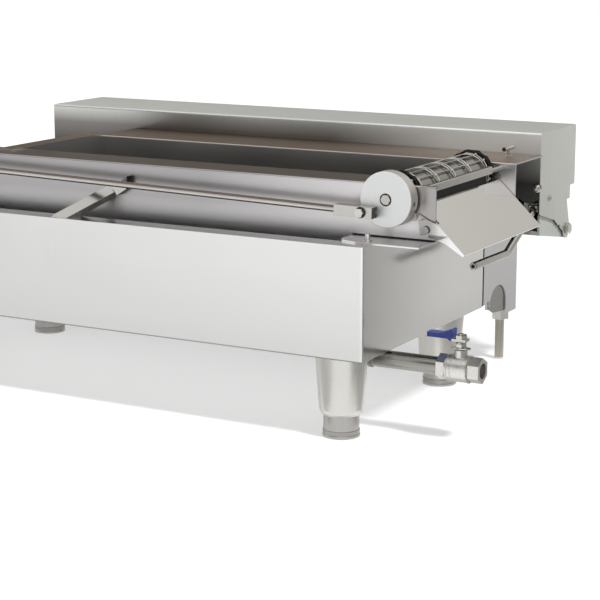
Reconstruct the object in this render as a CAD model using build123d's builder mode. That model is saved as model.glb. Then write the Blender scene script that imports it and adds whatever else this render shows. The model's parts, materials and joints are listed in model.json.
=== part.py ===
"""Donut glazing machine: dip tank on bullet legs, ladder-chain conveyor, coupling rod drive, drain valve."""
import os
from math import atan2, cos, degrees, hypot, pi, radians, sin, tan

from build123d import *

os.makedirs("parts", exist_ok=True)

# Driving sizes in millimetres. X runs along the tank, Y away from the front, Z up from the floor.
tank_length = 725.0
tank_depth = 352.0
tank_height = 135.0
leg_height = 100.0
sheet = 2.0
rim_width = 28.0
end_rim = 9.0
machine_depth = 518.0
outlet_reach = 116.0

# Rails of the conveyor trough, measured from the front right corner of the tank
front_rail_y = 65.0
rear_rail_in = 55.0
rail_rise = 65.0
rail_lift = 32.0
front_rail_end = 60.0
rear_rail_end = 63.0
front_flange = 55.0
rear_flange = 91.0
trough_in = 155.0

# Conveyor
head_x = 6.8
head_drop = 15.6
tail_lift = 78.0
tail_in = 42.0
incline = 32.0
bend_radius = 66.5
chain_pitch = 12.7
teeth = 13
link_half = 5.0
link_thick = 3.5
chain_gap = 7.0
cross_rod_r = 2.2

# Crank drive
disc_r = 32.75
disc_thick = 18.0
disc_front = 43.0
crank_x = -24.7
crank_z = -14.4
drive_in = 50.0
drive_rise = 16.4
rod_r = 4.0
pin_r = 3.0
shaft_r = 6.0

# Clearances
run_gap = 0.1
ball_gap = 0.4
side_gap = 0.5
seat_gap = 0.5
tooth_gap = 1.0

# Values that follow from those above
end_x = (tank_length - outlet_reach) / 2
front_y = -machine_depth / 2
tank_top = leg_height + tank_height
rail_top = tank_top + rail_rise
rail_bottom = leg_height + rail_lift
rear_rail_y = tank_depth - rear_rail_in
trough_left = trough_in - tank_length
head_z = rail_top - head_drop
tail_z = leg_height + tail_lift
drive_x = drive_in - tank_length
slope = radians(incline)
pitch_r = chain_pitch / 2 / sin(pi / teeth)
climb = (head_z - tail_z - bend_radius * (1 - cos(slope))) / sin(slope)
bend_x = head_x - climb * cos(slope) - bend_radius * sin(slope)
turns = 2 * bend_radius * slope + 2 * climb + 2 * pi * pitch_r
link_count = 2 * round((2 * (bend_x - trough_left - tail_in) + turns) / chain_pitch / 2)
level = (link_count * chain_pitch - turns) / 2
tail_x = bend_x - level
drive_z = head_z + drive_rise
crank_bolt_x = head_x + crank_x
crank_bolt_z = head_z + crank_z
rod_span = hypot(head_x - drive_x, drive_rise)
rod_tilt = atan2(drive_rise, head_x - drive_x)
chain_front = front_rail_y + sheet + chain_gap
chain_rear = rear_rail_y - chain_gap + 1.0


def at(x, y, z):
    """Point in the part frame from distances off the tank's front right corner."""
    return (end_x + x, front_y + y, z)


def face_xz(y):
    return Plane(at(0, y, 0), x_dir=(1, 0, 0), z_dir=(0, -1, 0))


def face_yz(x):
    return Plane(at(x, 0, 0), x_dir=(0, 1, 0), z_dir=(1, 0, 0))


def face_xy(z):
    return Plane(at(0, 0, z))


def block(x, y, z, mode=Mode.ADD):
    """Box between the two limits given for each axis."""
    with Locations(at(sum(x) / 2, sum(y) / 2, sum(z) / 2)):
        Box(x[1] - x[0], y[1] - y[0], z[1] - z[0], mode=mode)


def bar_x(y, z, r, x0, x1, mode=Mode.ADD):
    with Locations(Location(at((x0 + x1) / 2, y, z), (0, 90, 0))):
        Cylinder(r, x1 - x0, mode=mode)


def bar_y(x, z, r, y0, y1, mode=Mode.ADD):
    with Locations(Location(at(x, (y0 + y1) / 2, z), (90, 0, 0))):
        Cylinder(r, y1 - y0, mode=mode)


def bar_z(x, y, r, z0, z1, mode=Mode.ADD):
    with Locations(at(x, y, (z0 + z1) / 2)):
        Cylinder(r, z1 - z0, mode=mode)


def plate_xz(points, y0, y1, mode=Mode.ADD):
    with BuildSketch(face_xz(y0)) as outline:
        Polygon(*points, align=None)
    extrude(outline.sketch, amount=y0 - y1, mode=mode)


def plate_yz(points, x0, x1, mode=Mode.ADD):
    with BuildSketch(face_yz(x0)) as outline:
        Polygon(*points, align=None)
    extrude(outline.sketch, amount=x1 - x0, mode=mode)


def plate_xy(points, z0, z1, mode=Mode.ADD):
    with BuildSketch(face_xy(z0)) as outline:
        Polygon(*points, align=None)
    extrude(outline.sketch, amount=z1 - z0, mode=mode)


def hex_x(y, z, flats, x0, x1):
    with BuildSketch(face_yz(x0)) as outline:
        with Locations((y, z)):
            RegularPolygon(flats / 2, 6, major_radius=False, rotation=30)
    extrude(outline.sketch, amount=x1 - x0)


def hex_y(x, z, flats, y0, y1):
    with BuildSketch(face_xz(y0)) as outline:
        with Locations((x, z)):
            RegularPolygon(flats / 2, 6, major_radius=False)
    extrude(outline.sketch, amount=y0 - y1)


def hex_z(x, y, flats, z0, z1):
    with BuildSketch(face_xy(z0)) as outline:
        with Locations((x, y)):
            RegularPolygon(flats / 2, 6, major_radius=False)
    extrude(outline.sketch, amount=z1 - z0)


def save(piece, name):
    piece.part.label = name
    export_step(piece.part, "parts/" + name + ".step")


# Tank with its inward rim
leg_x = 45.0
leg_y = 36.0
drain_x = -75.0
drain_y = 80.0
pipe_r = 10.65
bore_r = 8.0
pipe_z = leg_height - 12.5
corner_r = 4.0
fold_r = 1.8
with BuildPart() as tank:
    block((-tank_length, 0), (0, tank_depth), (leg_height, tank_top))
    fillet(tank.edges().filter_by(Axis.Z), corner_r)
    block((-tank_length + sheet, -sheet), (sheet, tank_depth - sheet),
          (leg_height + sheet, tank_top - sheet), Mode.SUBTRACT)
    block((-tank_length + end_rim, -end_rim), (rim_width, tank_depth - rim_width),
          (tank_top - sheet, tank_top), Mode.SUBTRACT)
    bar_z(drain_x, drain_y, bore_r, leg_height, leg_height + sheet, Mode.SUBTRACT)
save(tank, "tank")

# Bullet legs and their screwed-in ends
leg_spots = [at(x, y, 0) for x in (-leg_x, leg_x - tank_length) for y in (leg_y, tank_depth - leg_y)]
leg_top_r = 31.5
leg_low_r = 27.2
insert_r = 21.9
insert_top = 0.26 * leg_height
shoulder = 0.40 * leg_height
with BuildPart() as legs:
    with BuildSketch(Plane.XZ) as leg_profile:
        with BuildLine():
            Polyline((0, insert_top), (insert_r, insert_top), (leg_low_r - 2.4, insert_top + 3.4),
                     (leg_low_r - 0.6, insert_top + 8), (leg_low_r, shoulder), (leg_top_r, leg_height),
                     (0, leg_height), (0, insert_top))
        make_face()
    with Locations(*leg_spots):
        add(revolve(leg_profile.sketch, axis=Axis.Z, mode=Mode.PRIVATE))
save(legs, "legs")

with BuildPart() as leg_ends:
    with BuildSketch(Plane.XZ) as end_profile:
        Polygon((0, 0), (insert_r + 0.6, 0), (insert_r + 0.6, 2.5), (insert_r - 0.4, 4.5),
                (insert_r - 0.4, insert_top), (0, insert_top), align=None)
    with Locations(*leg_spots):
        add(revolve(end_profile.sketch, axis=Axis.Z, mode=Mode.PRIVATE))
save(leg_ends, "leg_ends")

# Drain: elbow under the floor, pipe, ball valve with its handle
valve_in = 62.0
valve_x = 88.0
valve_body_r = 16.0
ball_r = 12.0
stem_r = 4.0
boss_top = pipe_z + 22.5
outlet_r = 9.3
outlet_depth = 12.0
valve_hex = 27.0
with BuildPart() as drain_pipe:
    bar_x(drain_y, pipe_z, pipe_r, drain_x, valve_in)
    bar_z(drain_x, drain_y, pipe_r + 2.4, pipe_z - pipe_r - 4, leg_height)
    bar_x(drain_y, pipe_z, pipe_r + 1.4, drain_x, drain_x + 22)
    bar_x(drain_y, pipe_z, bore_r, drain_x, valve_in, Mode.SUBTRACT)
    bar_z(drain_x, drain_y, bore_r, pipe_z, leg_height, Mode.SUBTRACT)
save(drain_pipe, "drain_pipe")

with BuildPart() as valve_body:
    hex_x(drain_y, pipe_z, valve_hex, valve_in, valve_in + 10)
    bar_x(drain_y, pipe_z, valve_body_r - 2.5, valve_in + 10, outlet_reach - outlet_depth)
    bar_x(drain_y, pipe_z, valve_body_r, valve_x - 14, valve_x + 13)
    hex_x(drain_y, pipe_z, valve_hex, outlet_reach - outlet_depth - 2, outlet_reach)
    bar_z(valve_x, drain_y, 8.0, pipe_z, boss_top)
    bar_x(drain_y, pipe_z, bore_r, valve_in, outlet_reach, Mode.SUBTRACT)
    bar_x(drain_y, pipe_z, outlet_r, outlet_reach - outlet_depth, outlet_reach, Mode.SUBTRACT)
    bar_x(drain_y, pipe_z, ball_r + ball_gap, valve_x - ball_r - ball_gap, valve_x + ball_r + ball_gap,
          Mode.SUBTRACT)
    bar_z(valve_x, drain_y, stem_r + run_gap, pipe_z, boss_top, Mode.SUBTRACT)
save(valve_body, "valve_body")

handle_low = boss_top + 10.0
handle_t = 3.0
handle_rise = 4.0
handle_half = 6.0
handle_tip = -40.0
ball_steps = 10
ball_angles = [pi * (step / ball_steps - 0.5) for step in range(ball_steps + 1)]
with BuildPart() as valve_ball:
    with BuildSketch(Plane(at(valve_x, drain_y, pipe_z), x_dir=(1, 0, 0), z_dir=(0, -1, 0))) as ball_profile:
        Polygon(*[(ball_r * cos(a), ball_r * sin(a)) for a in ball_angles], align=None)
    revolve(ball_profile.sketch, axis=Axis(at(valve_x, drain_y, pipe_z), (0, 0, 1)))
    bar_z(valve_x, drain_y, stem_r, pipe_z, handle_low + handle_t)
    bar_x(drain_y, pipe_z, bore_r, valve_x - ball_r, valve_x + ball_r, Mode.SUBTRACT)
save(valve_ball, "valve_ball")

handle_line = ((8, handle_low), (-9, handle_low), (-14, handle_low + handle_rise),
               (handle_tip, handle_low + handle_rise))
handle_back = [(x, z + handle_t) for x, z in reversed(handle_line)]
with BuildPart() as valve_handle:
    plate_xz([(valve_x + x, z) for x, z in (*handle_line, *handle_back)],
             drain_y - handle_half, drain_y + handle_half)
    bar_z(valve_x, drain_y, stem_r, handle_low, handle_low + handle_t, Mode.SUBTRACT)
    hex_z(valve_x, drain_y, 13.0, handle_low + handle_t, handle_low + handle_t + 4.5)
save(valve_handle, "valve_handle")

# Dipped sleeve over the grip, with a raised thumb stop at the stem
sleeve_wall = 1.2
stop_rise = 6.0
grip_low = handle_low + handle_rise - sleeve_wall
grip_high = grip_low + handle_t + 2 * sleeve_wall
sleeve_outline = [(handle_tip - sleeve_wall, grip_low), (-14.5, grip_low), (-10.6, handle_low - 0.2),
                  (-9.2, handle_low + handle_t + 0.5), (-8.2, grip_high + stop_rise - 1.5),
                  (-9.6, grip_high + stop_rise), (-25, grip_high), (handle_tip - sleeve_wall, grip_high)]
with BuildPart() as handle_sleeve:
    plate_xz([(valve_x + x, z) for x, z in sleeve_outline], drain_y - handle_half - sleeve_wall,
             drain_y + handle_half + sleeve_wall)
    chamfer(handle_sleeve.edges().filter_by(Axis.Z).group_by(Axis.X)[0], 2.0)
    plate_xz([(valve_x + x, z) for x, z in (*handle_line, *handle_back)],
             drain_y - handle_half, drain_y + handle_half, Mode.SUBTRACT)
save(handle_sleeve, "handle_sleeve")

# Front rail: deep inside the tank, stepped over the end rim on the right, raised ear for the gearbox
step_x = -47.0
strip_t = 1.5
tab_t = 2.0
rail_step = tank_top + tab_t + strip_t
ear_right = drive_x + 36.0
ear_left = -tank_length + end_rim + 1.0
ear_top = drive_z + 27.0
narrow_x = -35.0
narrow_flange = 7.0
bush_r = 8.0
rail_far = front_rail_y + sheet
front_outline = [(ear_left, rail_bottom), (step_x, rail_bottom), (step_x, rail_step),
                 (front_rail_end, rail_step), (front_rail_end, rail_top), (ear_right + 8, rail_top),
                 (ear_right, ear_top), (ear_left, ear_top)]
with BuildPart() as front_rail:
    plate_xz(front_outline, front_rail_y, rail_far)
    block((ear_right + 8, narrow_x), (front_rail_y, front_rail_y + front_flange), (rail_top - sheet, rail_top))
    block((narrow_x, front_rail_end), (front_rail_y, front_rail_y + narrow_flange),
          (rail_top - sheet, rail_top))
    fold = front_rail.edges().filter_by(Axis.X).filter_by_position(Axis.Y, front_y + front_rail_y - 0.1,
                                                                   front_y + front_rail_y + 0.1)
    fillet(fold.filter_by_position(Axis.Z, rail_top - 0.1, rail_top + 0.1), fold_r)
    bar_y(head_x, head_z, bush_r, front_rail_y, rail_far, Mode.SUBTRACT)
    bar_y(tail_x, tail_z, bush_r, front_rail_y, rail_far, Mode.SUBTRACT)
    bar_y(drive_x, drive_z, shaft_r + 2, front_rail_y, rail_far, Mode.SUBTRACT)
save(front_rail, "front_rail")

rear_far = rear_rail_y + sheet
flange_edge = rear_rail_y + rear_flange
rear_outline = [(trough_left, rail_bottom), (step_x, rail_bottom), (step_x, rail_step),
                (rear_rail_end, rail_step), (rear_rail_end, rail_top), (trough_left, rail_top)]
screw_x = 30.0
screw_y = rear_rail_y + 57.0
screw_r = 3.0
with BuildPart() as rear_rail:
    plate_xz(rear_outline, rear_rail_y, rear_far)
    block((trough_left, rear_rail_end), (rear_rail_y, flange_edge), (rail_top - sheet, rail_top))
    fold = rear_rail.edges().filter_by(Axis.X).filter_by_position(Axis.Z, rail_top - 0.1, rail_top + 0.1)
    fillet(fold.sort_by(Axis.Y)[0], fold_r)
    bar_y(head_x, head_z, bush_r, rear_rail_y, rear_far, Mode.SUBTRACT)
    bar_y(tail_x, tail_z, bush_r, rear_rail_y, rear_far, Mode.SUBTRACT)
    bar_z(screw_x, screw_y, screw_r, rail_top - sheet, rail_top, Mode.SUBTRACT)
save(rear_rail, "rear_rail")

# Lip and splash plate across the left end of the trough
lip_width = 20.0
splash_drop = 58.0
with BuildPart() as trough_lip:
    block((trough_left - lip_width, trough_left + 4), (front_rail_y + 29, rear_rail_y),
          (rail_top, rail_top + sheet))
    block((trough_left + 2, trough_left + 4), (front_rail_y + front_flange, rear_rail_y),
          (rail_top - splash_drop, rail_top))
save(trough_lip, "trough_lip")

# Tabs that carry the front rail on the tank's rim, with the strip under the rail and the stud
tab_front = 20.0
with BuildPart() as rail_tabs:
    plate_xy([(-45, 31), (-41, 27), (-20, tab_front), (front_rail_end, tab_front),
              (front_rail_end, rail_far), (-45, rail_far)], tank_top, tank_top + tab_t)
    block((ear_left, ear_left + 60), (6, front_rail_y), (tank_top, tank_top + tab_t))
save(rail_tabs, "rail_tabs")

with BuildPart() as rail_strip:
    block((-45, front_rail_end), (front_rail_y, rail_far), (tank_top + tab_t, rail_step))
save(rail_strip, "rail_strip")

stud_x = -12.0
stud_y = 36.0
with BuildPart() as tab_studs:
    for x, y in ((stud_x, stud_y), (ear_left + 30, 18)):
        bar_z(x, y, 6.0, tank_top + tab_t, tank_top + tab_t + 1.2)
        bar_z(x, y, 3.5, tank_top + tab_t + 1.2, tank_top + tab_t + 8)
save(tab_studs, "tab_studs")

# Square brace from the rim up to the front rail
brace_foot = (-424.0, 12.0, tank_top)
brace_head = (-382.0, front_rail_y, tank_top + 31.0)
brace_side = 13.0
brace_dir = Vector(*[b - a for a, b in zip(brace_foot, brace_head)])
brace_reach = brace_side * 1.6
with BuildPart() as brace_bar:
    with BuildSketch(Plane(Vector(*at(*brace_foot)) - brace_dir.normalized() * brace_reach, x_dir=(0, 0, 1),
                           z_dir=brace_dir)) as brace_section:
        Rectangle(brace_side, brace_side, rotation=45)
    extrude(brace_section.sketch, amount=brace_dir.length + 2 * brace_reach)
    block((brace_foot[0] - 90, brace_head[0] + 90), (-80, front_rail_y + 90), (tank_top - 90, tank_top),
          Mode.SUBTRACT)
    block((brace_foot[0] - 90, brace_head[0] + 90), (front_rail_y, front_rail_y + 90),
          (tank_top - 90, rail_top + 90), Mode.SUBTRACT)
    block((brace_foot[0] - 90, brace_head[0] + 90), (-90, 1), (tank_top - 90, rail_top + 90), Mode.SUBTRACT)
save(brace_bar, "brace_bar")

# Posts that carry the rear rail on the tank's back rim, and the thumb screw in its flange
post_y = tank_depth - rim_width / 2
post_r = 6.0
post_spots = (rear_rail_end - 123.0, (rear_rail_end - 93.0 + trough_left) / 2, trough_left + 30.0)
with BuildPart() as rear_posts:
    for x in post_spots:
        bar_z(x, post_y, post_r, tank_top, rail_top - sheet)
save(rear_posts, "rear_posts")

wing_half = 16.0
with BuildPart() as thumb_screw:
    bar_z(screw_x, screw_y, screw_r, rail_top - sheet - 6, rail_top + 9)
    bar_z(screw_x, screw_y, 5.0, rail_top, rail_top + 1.5)
    bar_y(screw_x, rail_top + 11, 2.8, screw_y - wing_half, screw_y + wing_half)
    hex_z(screw_x, screw_y, 10.0, rail_top - sheet - 5, rail_top - sheet)
save(thumb_screw, "thumb_screw")

# Tie rods between the rails, inside the chain loop
with BuildPart() as tie_rods:
    for x in (tail_x + 60, (tail_x + bend_x) / 2, bend_x - 20):
        bar_y(x, tail_z, 5.0, rail_far, rear_rail_y)
save(tie_rods, "tie_rods")

# Wear strips under both level runs and hold-down shoes in the bend
strip_in = chain_front + 2 * link_thick
strip_out = chain_rear - 2 * link_thick
upper_z = tail_z + pitch_r - link_half
lower_z = tail_z - pitch_r - link_half
strip_ends = (tail_x + 30, bend_x - 16)
with BuildPart() as wear_strips:
    for y0, y1 in ((rail_far, strip_in), (strip_out, rear_rail_y)):
        block(strip_ends, (y0, y1), (upper_z - 8, upper_z))
        block(strip_ends, (y0, y1), (rail_bottom, lower_z))
save(wear_strips, "wear_strips")

shoe_r = bend_radius - pitch_r - link_half - 1.0
shoe_z = tail_z + bend_radius
with BuildPart() as hold_downs:
    for y0, y1 in ((rail_far, strip_in), (strip_out, rear_rail_y)):
        bar_y(bend_x, shoe_z, shoe_r, y0, y1)
    block((bend_x - 60, bend_x + 60), (0, tank_depth), (shoe_z - 0.62 * shoe_r, shoe_z + 60), Mode.SUBTRACT)
save(hold_downs, "hold_downs")

# Bushes for both shafts
bush_flange = 11.0
bush_t = 2.5
bush_in = 4.0
with BuildPart() as bushes:
    for x, z in ((head_x, head_z), (tail_x, tail_z)):
        bar_y(x, z, bush_r, front_rail_y, rail_far + bush_in)
        bar_y(x, z, bush_flange, front_rail_y - bush_t, front_rail_y)
        bar_y(x, z, bush_r, rear_rail_y - bush_in, rear_far)
        bar_y(x, z, bush_flange, rear_far, rear_far + bush_t)
        bar_y(x, z, shaft_r + run_gap, front_rail_y - bush_t, rear_far + bush_t, Mode.SUBTRACT)
save(bushes, "bushes")

# Shafts and toothed wheels
hub_front = rail_far + bush_in + side_gap
hub_rear = rear_rail_y - bush_in - side_gap
wheel_r = pitch_r - link_half - tooth_gap
shaft_tip_r = 5.0
sink = 2.5
sink_r = 7.5
disc_back = disc_front + disc_thick
with BuildPart() as head_shaft:
    bar_y(head_x, head_z, shaft_r, disc_back, rear_far + bush_t + 1)
    bar_y(head_x, head_z, shaft_tip_r, disc_front + sink, disc_back)
    hex_y(head_x, head_z, 11.0, disc_front + 0.3, disc_front + sink)
save(head_shaft, "head_shaft")

with BuildPart() as tail_shaft:
    bar_y(tail_x, tail_z, shaft_r, front_rail_y - bush_t - 1, rear_far + bush_t + 1)
save(tail_shaft, "tail_shaft")

tooth_depth = 2.8
tooth_form = ((-0.32, wheel_r - tooth_depth), (-0.13, wheel_r), (0.13, wheel_r), (0.32, wheel_r - tooth_depth))
tooth_points = [(2 * pi * (tooth + share) / teeth, r) for tooth in range(teeth) for share, r in tooth_form]
with BuildSketch() as wheel_form:
    Polygon(*[(r * cos(angle), r * sin(angle)) for angle, r in tooth_points], align=None)
wheel_sides = ((chain_front, strip_in), (strip_out, chain_rear))
with BuildPart() as head_wheels:
    for y0, y1 in wheel_sides:
        extrude(Plane(at(head_x, y0, head_z), x_dir=(1, 0, 0), z_dir=(0, -1, 0)) * wheel_form.sketch,
                amount=y0 - y1)
    bar_y(head_x, head_z, 10.0, hub_front, strip_in)
    bar_y(head_x, head_z, 10.0, strip_out, hub_rear)
    bar_y(head_x, head_z, shaft_r, hub_front, hub_rear, Mode.SUBTRACT)
save(head_wheels, "head_wheels")

with BuildPart() as tail_wheels:
    for y0, y1 in wheel_sides:
        extrude(Plane(at(tail_x, y0, tail_z), x_dir=(1, 0, 0), z_dir=(0, -1, 0)) * wheel_form.sketch,
                amount=y0 - y1)
    bar_y(tail_x, tail_z, 10.0, hub_front, strip_in)
    bar_y(tail_x, tail_z, 10.0, strip_out, hub_rear)
    bar_y(tail_x, tail_z, shaft_r, hub_front, hub_rear, Mode.SUBTRACT)
save(tail_wheels, "tail_wheels")

# Chain loop: joints every pitch along level run, bend, incline and the two wheels
inner_bend = bend_radius - pitch_r
outer_bend = bend_radius + pitch_r
bend_z = tail_z + bend_radius
runs = (level, inner_bend * slope, climb, pi * pitch_r, climb, outer_bend * slope, level, pi * pitch_r)


def chain_point(s):
    """Point of the pitch line at a distance s along the loop from the top of the tail wheel."""
    leg = 0
    while leg < 7 and s > runs[leg]:
        s -= runs[leg]
        leg += 1
    if leg == 0:
        return tail_x + s, tail_z + pitch_r
    if leg == 1:
        return bend_x + inner_bend * sin(s / inner_bend), bend_z - inner_bend * cos(s / inner_bend)
    if leg == 2:
        return (head_x - pitch_r * sin(slope) - (climb - s) * cos(slope),
                head_z + pitch_r * cos(slope) - (climb - s) * sin(slope))
    if leg == 3:
        return head_x - pitch_r * sin(slope - s / pitch_r), head_z + pitch_r * cos(slope - s / pitch_r)
    if leg == 4:
        return (head_x + pitch_r * sin(slope) - s * cos(slope),
                head_z - pitch_r * cos(slope) - s * sin(slope))
    if leg == 5:
        turn = slope - s / outer_bend
        return bend_x + outer_bend * sin(turn), bend_z - outer_bend * cos(turn)
    if leg == 6:
        return bend_x - s, tail_z - pitch_r
    return tail_x - pitch_r * sin(s / pitch_r), tail_z - pitch_r * cos(s / pitch_r)


loop_length = sum(runs)
joints = [chain_point(loop_length * i / link_count) for i in range(link_count)]
link_reach = chain_pitch / 2 + link_half - 0.4


def link_places(first, y):
    """Placements of every second link, starting from the one named."""
    places = []
    for i in range(first, link_count, 2):
        (xa, za), (xb, zb) = joints[i], joints[(i + 1) % link_count]
        turn = degrees(atan2(zb - za, xb - xa))
        places.append(Location(at((xa + xb) / 2, y, (za + zb) / 2), (0, -turn, 0)))
    return places


with BuildPart() as link_form:
    with BuildSketch(Plane.XZ) as link_outline:
        Polygon((link_reach, 2), (link_reach - 3, link_half), (3 - link_reach, link_half), (-link_reach, 2),
                (-link_reach, -2), (3 - link_reach, -link_half), (link_reach - 3, -link_half),
                (link_reach, -2), align=None)
    extrude(link_outline.sketch, amount=link_thick / 2, both=True)

layers = ((0, chain_front + link_thick / 2), (1, chain_front + 1.5 * link_thick),
          (1, chain_rear - 1.5 * link_thick), (0, chain_rear - link_thick / 2))
with BuildPart() as outer_links:
    with Locations(*link_places(*layers[0]), *link_places(*layers[3])):
        add(link_form.part, clean=False)
save(outer_links, "outer_links")

with BuildPart() as inner_links:
    with Locations(*link_places(*layers[1]), *link_places(*layers[2])):
        add(link_form.part, clean=False)
save(inner_links, "inner_links")

with BuildPart() as rung_form:
    with BuildSketch(Plane.XZ) as rung_outline:
        RegularPolygon(cross_rod_r, 6)
    extrude(rung_outline.sketch, amount=(strip_out - strip_in) / 2, both=True)

with BuildPart() as cross_rods:
    with Locations(*[Location(at(x, (strip_in + strip_out) / 2, z)) for x, z in joints]):
        add(rung_form.part, clean=False)
save(cross_rods, "cross_rods")

# Crank discs with their set screw holes, crank bolts
bolt_head = 5.0
washer_t = 1.0
clevis_front = 28.0
bolt_front = clevis_front - washer_t - bolt_head
with BuildPart() as crank_disc:
    bar_y(head_x, head_z, disc_r, disc_front, disc_back)
    chamfer(crank_disc.edges().filter_by(GeomType.CIRCLE), 0.8)
    bar_y(head_x, head_z, shaft_tip_r, disc_front, disc_back, Mode.SUBTRACT)
    bar_y(head_x, head_z, sink_r, disc_front, disc_front + sink, Mode.SUBTRACT)
    bar_y(crank_bolt_x, crank_bolt_z, pin_r, disc_front, disc_back, Mode.SUBTRACT)
    bar_x(disc_front + disc_thick / 2, head_z - 4, 3.2, head_x + 18, head_x + disc_r + 1, Mode.SUBTRACT)
save(crank_disc, "crank_disc")

with BuildPart() as crank_bolt:
    bar_y(crank_bolt_x, crank_bolt_z, pin_r, bolt_front + bolt_head, disc_back - 2)
    hex_y(crank_bolt_x, crank_bolt_z, 10.0, bolt_front, bolt_front + bolt_head)
    bar_y(crank_bolt_x, crank_bolt_z, 6.0, clevis_front - washer_t, clevis_front - 0.2)
save(crank_bolt, "crank_bolt")

with BuildPart() as drive_disc:
    bar_y(drive_x, drive_z, disc_r, disc_front, disc_back)
    chamfer(drive_disc.edges().filter_by(GeomType.CIRCLE), 0.8)
    bar_y(drive_x, drive_z, shaft_tip_r, disc_front, disc_back, Mode.SUBTRACT)
    bar_y(drive_x + crank_x, drive_z + crank_z, pin_r, disc_front, disc_back, Mode.SUBTRACT)
save(drive_disc, "drive_disc")

with BuildPart() as drive_bolt:
    bar_y(drive_x + crank_x, drive_z + crank_z, pin_r, bolt_front + bolt_head, disc_back - 2)
    hex_y(drive_x + crank_x, drive_z + crank_z, 10.0, bolt_front, bolt_front + bolt_head)
    bar_y(drive_x + crank_x, drive_z + crank_z, 6.0, clevis_front - washer_t, clevis_front - 0.2)
save(drive_bolt, "drive_bolt")

gear_depth = 48.0
with BuildPart() as drive_shaft:
    bar_y(drive_x, drive_z, shaft_r, disc_back, rail_far + gear_depth - 8)
    bar_y(drive_x, drive_z, shaft_tip_r, disc_front + 0.6, disc_back)
save(drive_shaft, "drive_shaft")

# Gearmotor on the ear of the front rail, over the open bay of the tank
gear_half = 27.0
motor_r = 25.0
motor_length = 56.0
with BuildPart() as gearmotor:
    block((drive_x - gear_half, drive_x + gear_half), (rail_far, rail_far + gear_depth),
          (drive_z - gear_half, drive_z + gear_half))
    fillet(gearmotor.edges().filter_by(Axis.Y), 6.0)
    bar_y(drive_x, drive_z, motor_r, rail_far + gear_depth, rail_far + gear_depth + motor_length)
    bar_y(drive_x, drive_z, shaft_r + run_gap, rail_far, rail_far + gear_depth - 7, Mode.SUBTRACT)
save(gearmotor, "gearmotor")

# Coupling rod and its forked ends, laid along the line between the crank bolts
clevis_back = disc_front - 1.0
clevis_height = 13.0
clevis_nose = 14.5
clevis_tail = 34.5
rod_grip = 14.0
rod_y = (clevis_front + clevis_back) / 2
rod_dir = Vector(cos(rod_tilt), 0, -sin(rod_tilt))
clevis_spots = [Vector(*at(crank_bolt_x, rod_y, crank_bolt_z)),
                Vector(*at(drive_x + crank_x, rod_y, drive_z + crank_z))]
with BuildPart() as clevises:
    for spot, toward in zip(clevis_spots, (-1, 1)):
        with BuildSketch(Plane(spot, x_dir=rod_dir, z_dir=(0, -1, 0))) as clevis_side:
            with Locations((toward * (clevis_tail - clevis_nose) / 2, 0)):
                Rectangle(clevis_tail + clevis_nose, clevis_height)
            Circle(pin_r + run_gap, mode=Mode.SUBTRACT)
        extrude(clevis_side.sketch, amount=(clevis_back - clevis_front) / 2, both=True)
        with BuildSketch(Plane(spot, x_dir=rod_dir, z_dir=(0, -1, 0)).offset(-1.0)) as clevis_slot:
            with Locations((-toward * clevis_nose / 2 + toward * 5, 0)):
                Rectangle(clevis_nose + 10, 6.0)
        extrude(clevis_slot.sketch, amount=-clevis_back, mode=Mode.SUBTRACT)
        with Locations(Plane(spot + rod_dir * (toward * (clevis_tail - rod_grip / 2)), x_dir=(0, 1, 0),
                             z_dir=rod_dir)):
            Cylinder(rod_r, rod_grip, mode=Mode.SUBTRACT)
save(clevises, "clevises")

with BuildPart() as coupling_rod:
    with Locations(Plane((clevis_spots[0] + clevis_spots[1]) * 0.5, x_dir=(0, 1, 0), z_dir=rod_dir)):
        Cylinder(rod_r, rod_span - 2 * (clevis_tail - rod_grip))
save(coupling_rod, "coupling_rod")

# Nose bar at the discharge, with the stay that carries its far end
nose_x = (41.0, 48.0)
nose_z = (rail_top - 9.0, rail_top)
nose_start = front_rail_y + narrow_flange
nose_end = rear_rail_y - 39.0
with BuildPart() as nose_bar:
    block(nose_x, (nose_start, nose_end), nose_z)
    fillet(nose_bar.edges().filter_by(Axis.Y).group_by(Axis.Z)[-1], 2.0)
    bar_y(sum(nose_x) / 2, nose_z[0] + 3, 3.0, nose_end, rear_rail_y)
save(nose_bar, "nose_bar")

# Discharge chute hung on two pins
chute_top = (42.0, rail_top - 21.0)
chute_tip = (98.5, rail_top - 75.0)
hook_x = 49.2
hook_z = rail_top - 50.0
hook_r = 3.5
chute_fall = atan2(chute_top[1] - chute_tip[1], chute_tip[0] - chute_top[0])
drop_x = -sheet * sin(chute_fall)
drop_z = -sheet * cos(chute_fall)
chute_side = 1.0


def chute_z(x):
    """Height of the chute's upper face."""
    return chute_top[1] - (x - chute_top[0]) * tan(chute_fall)


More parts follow.
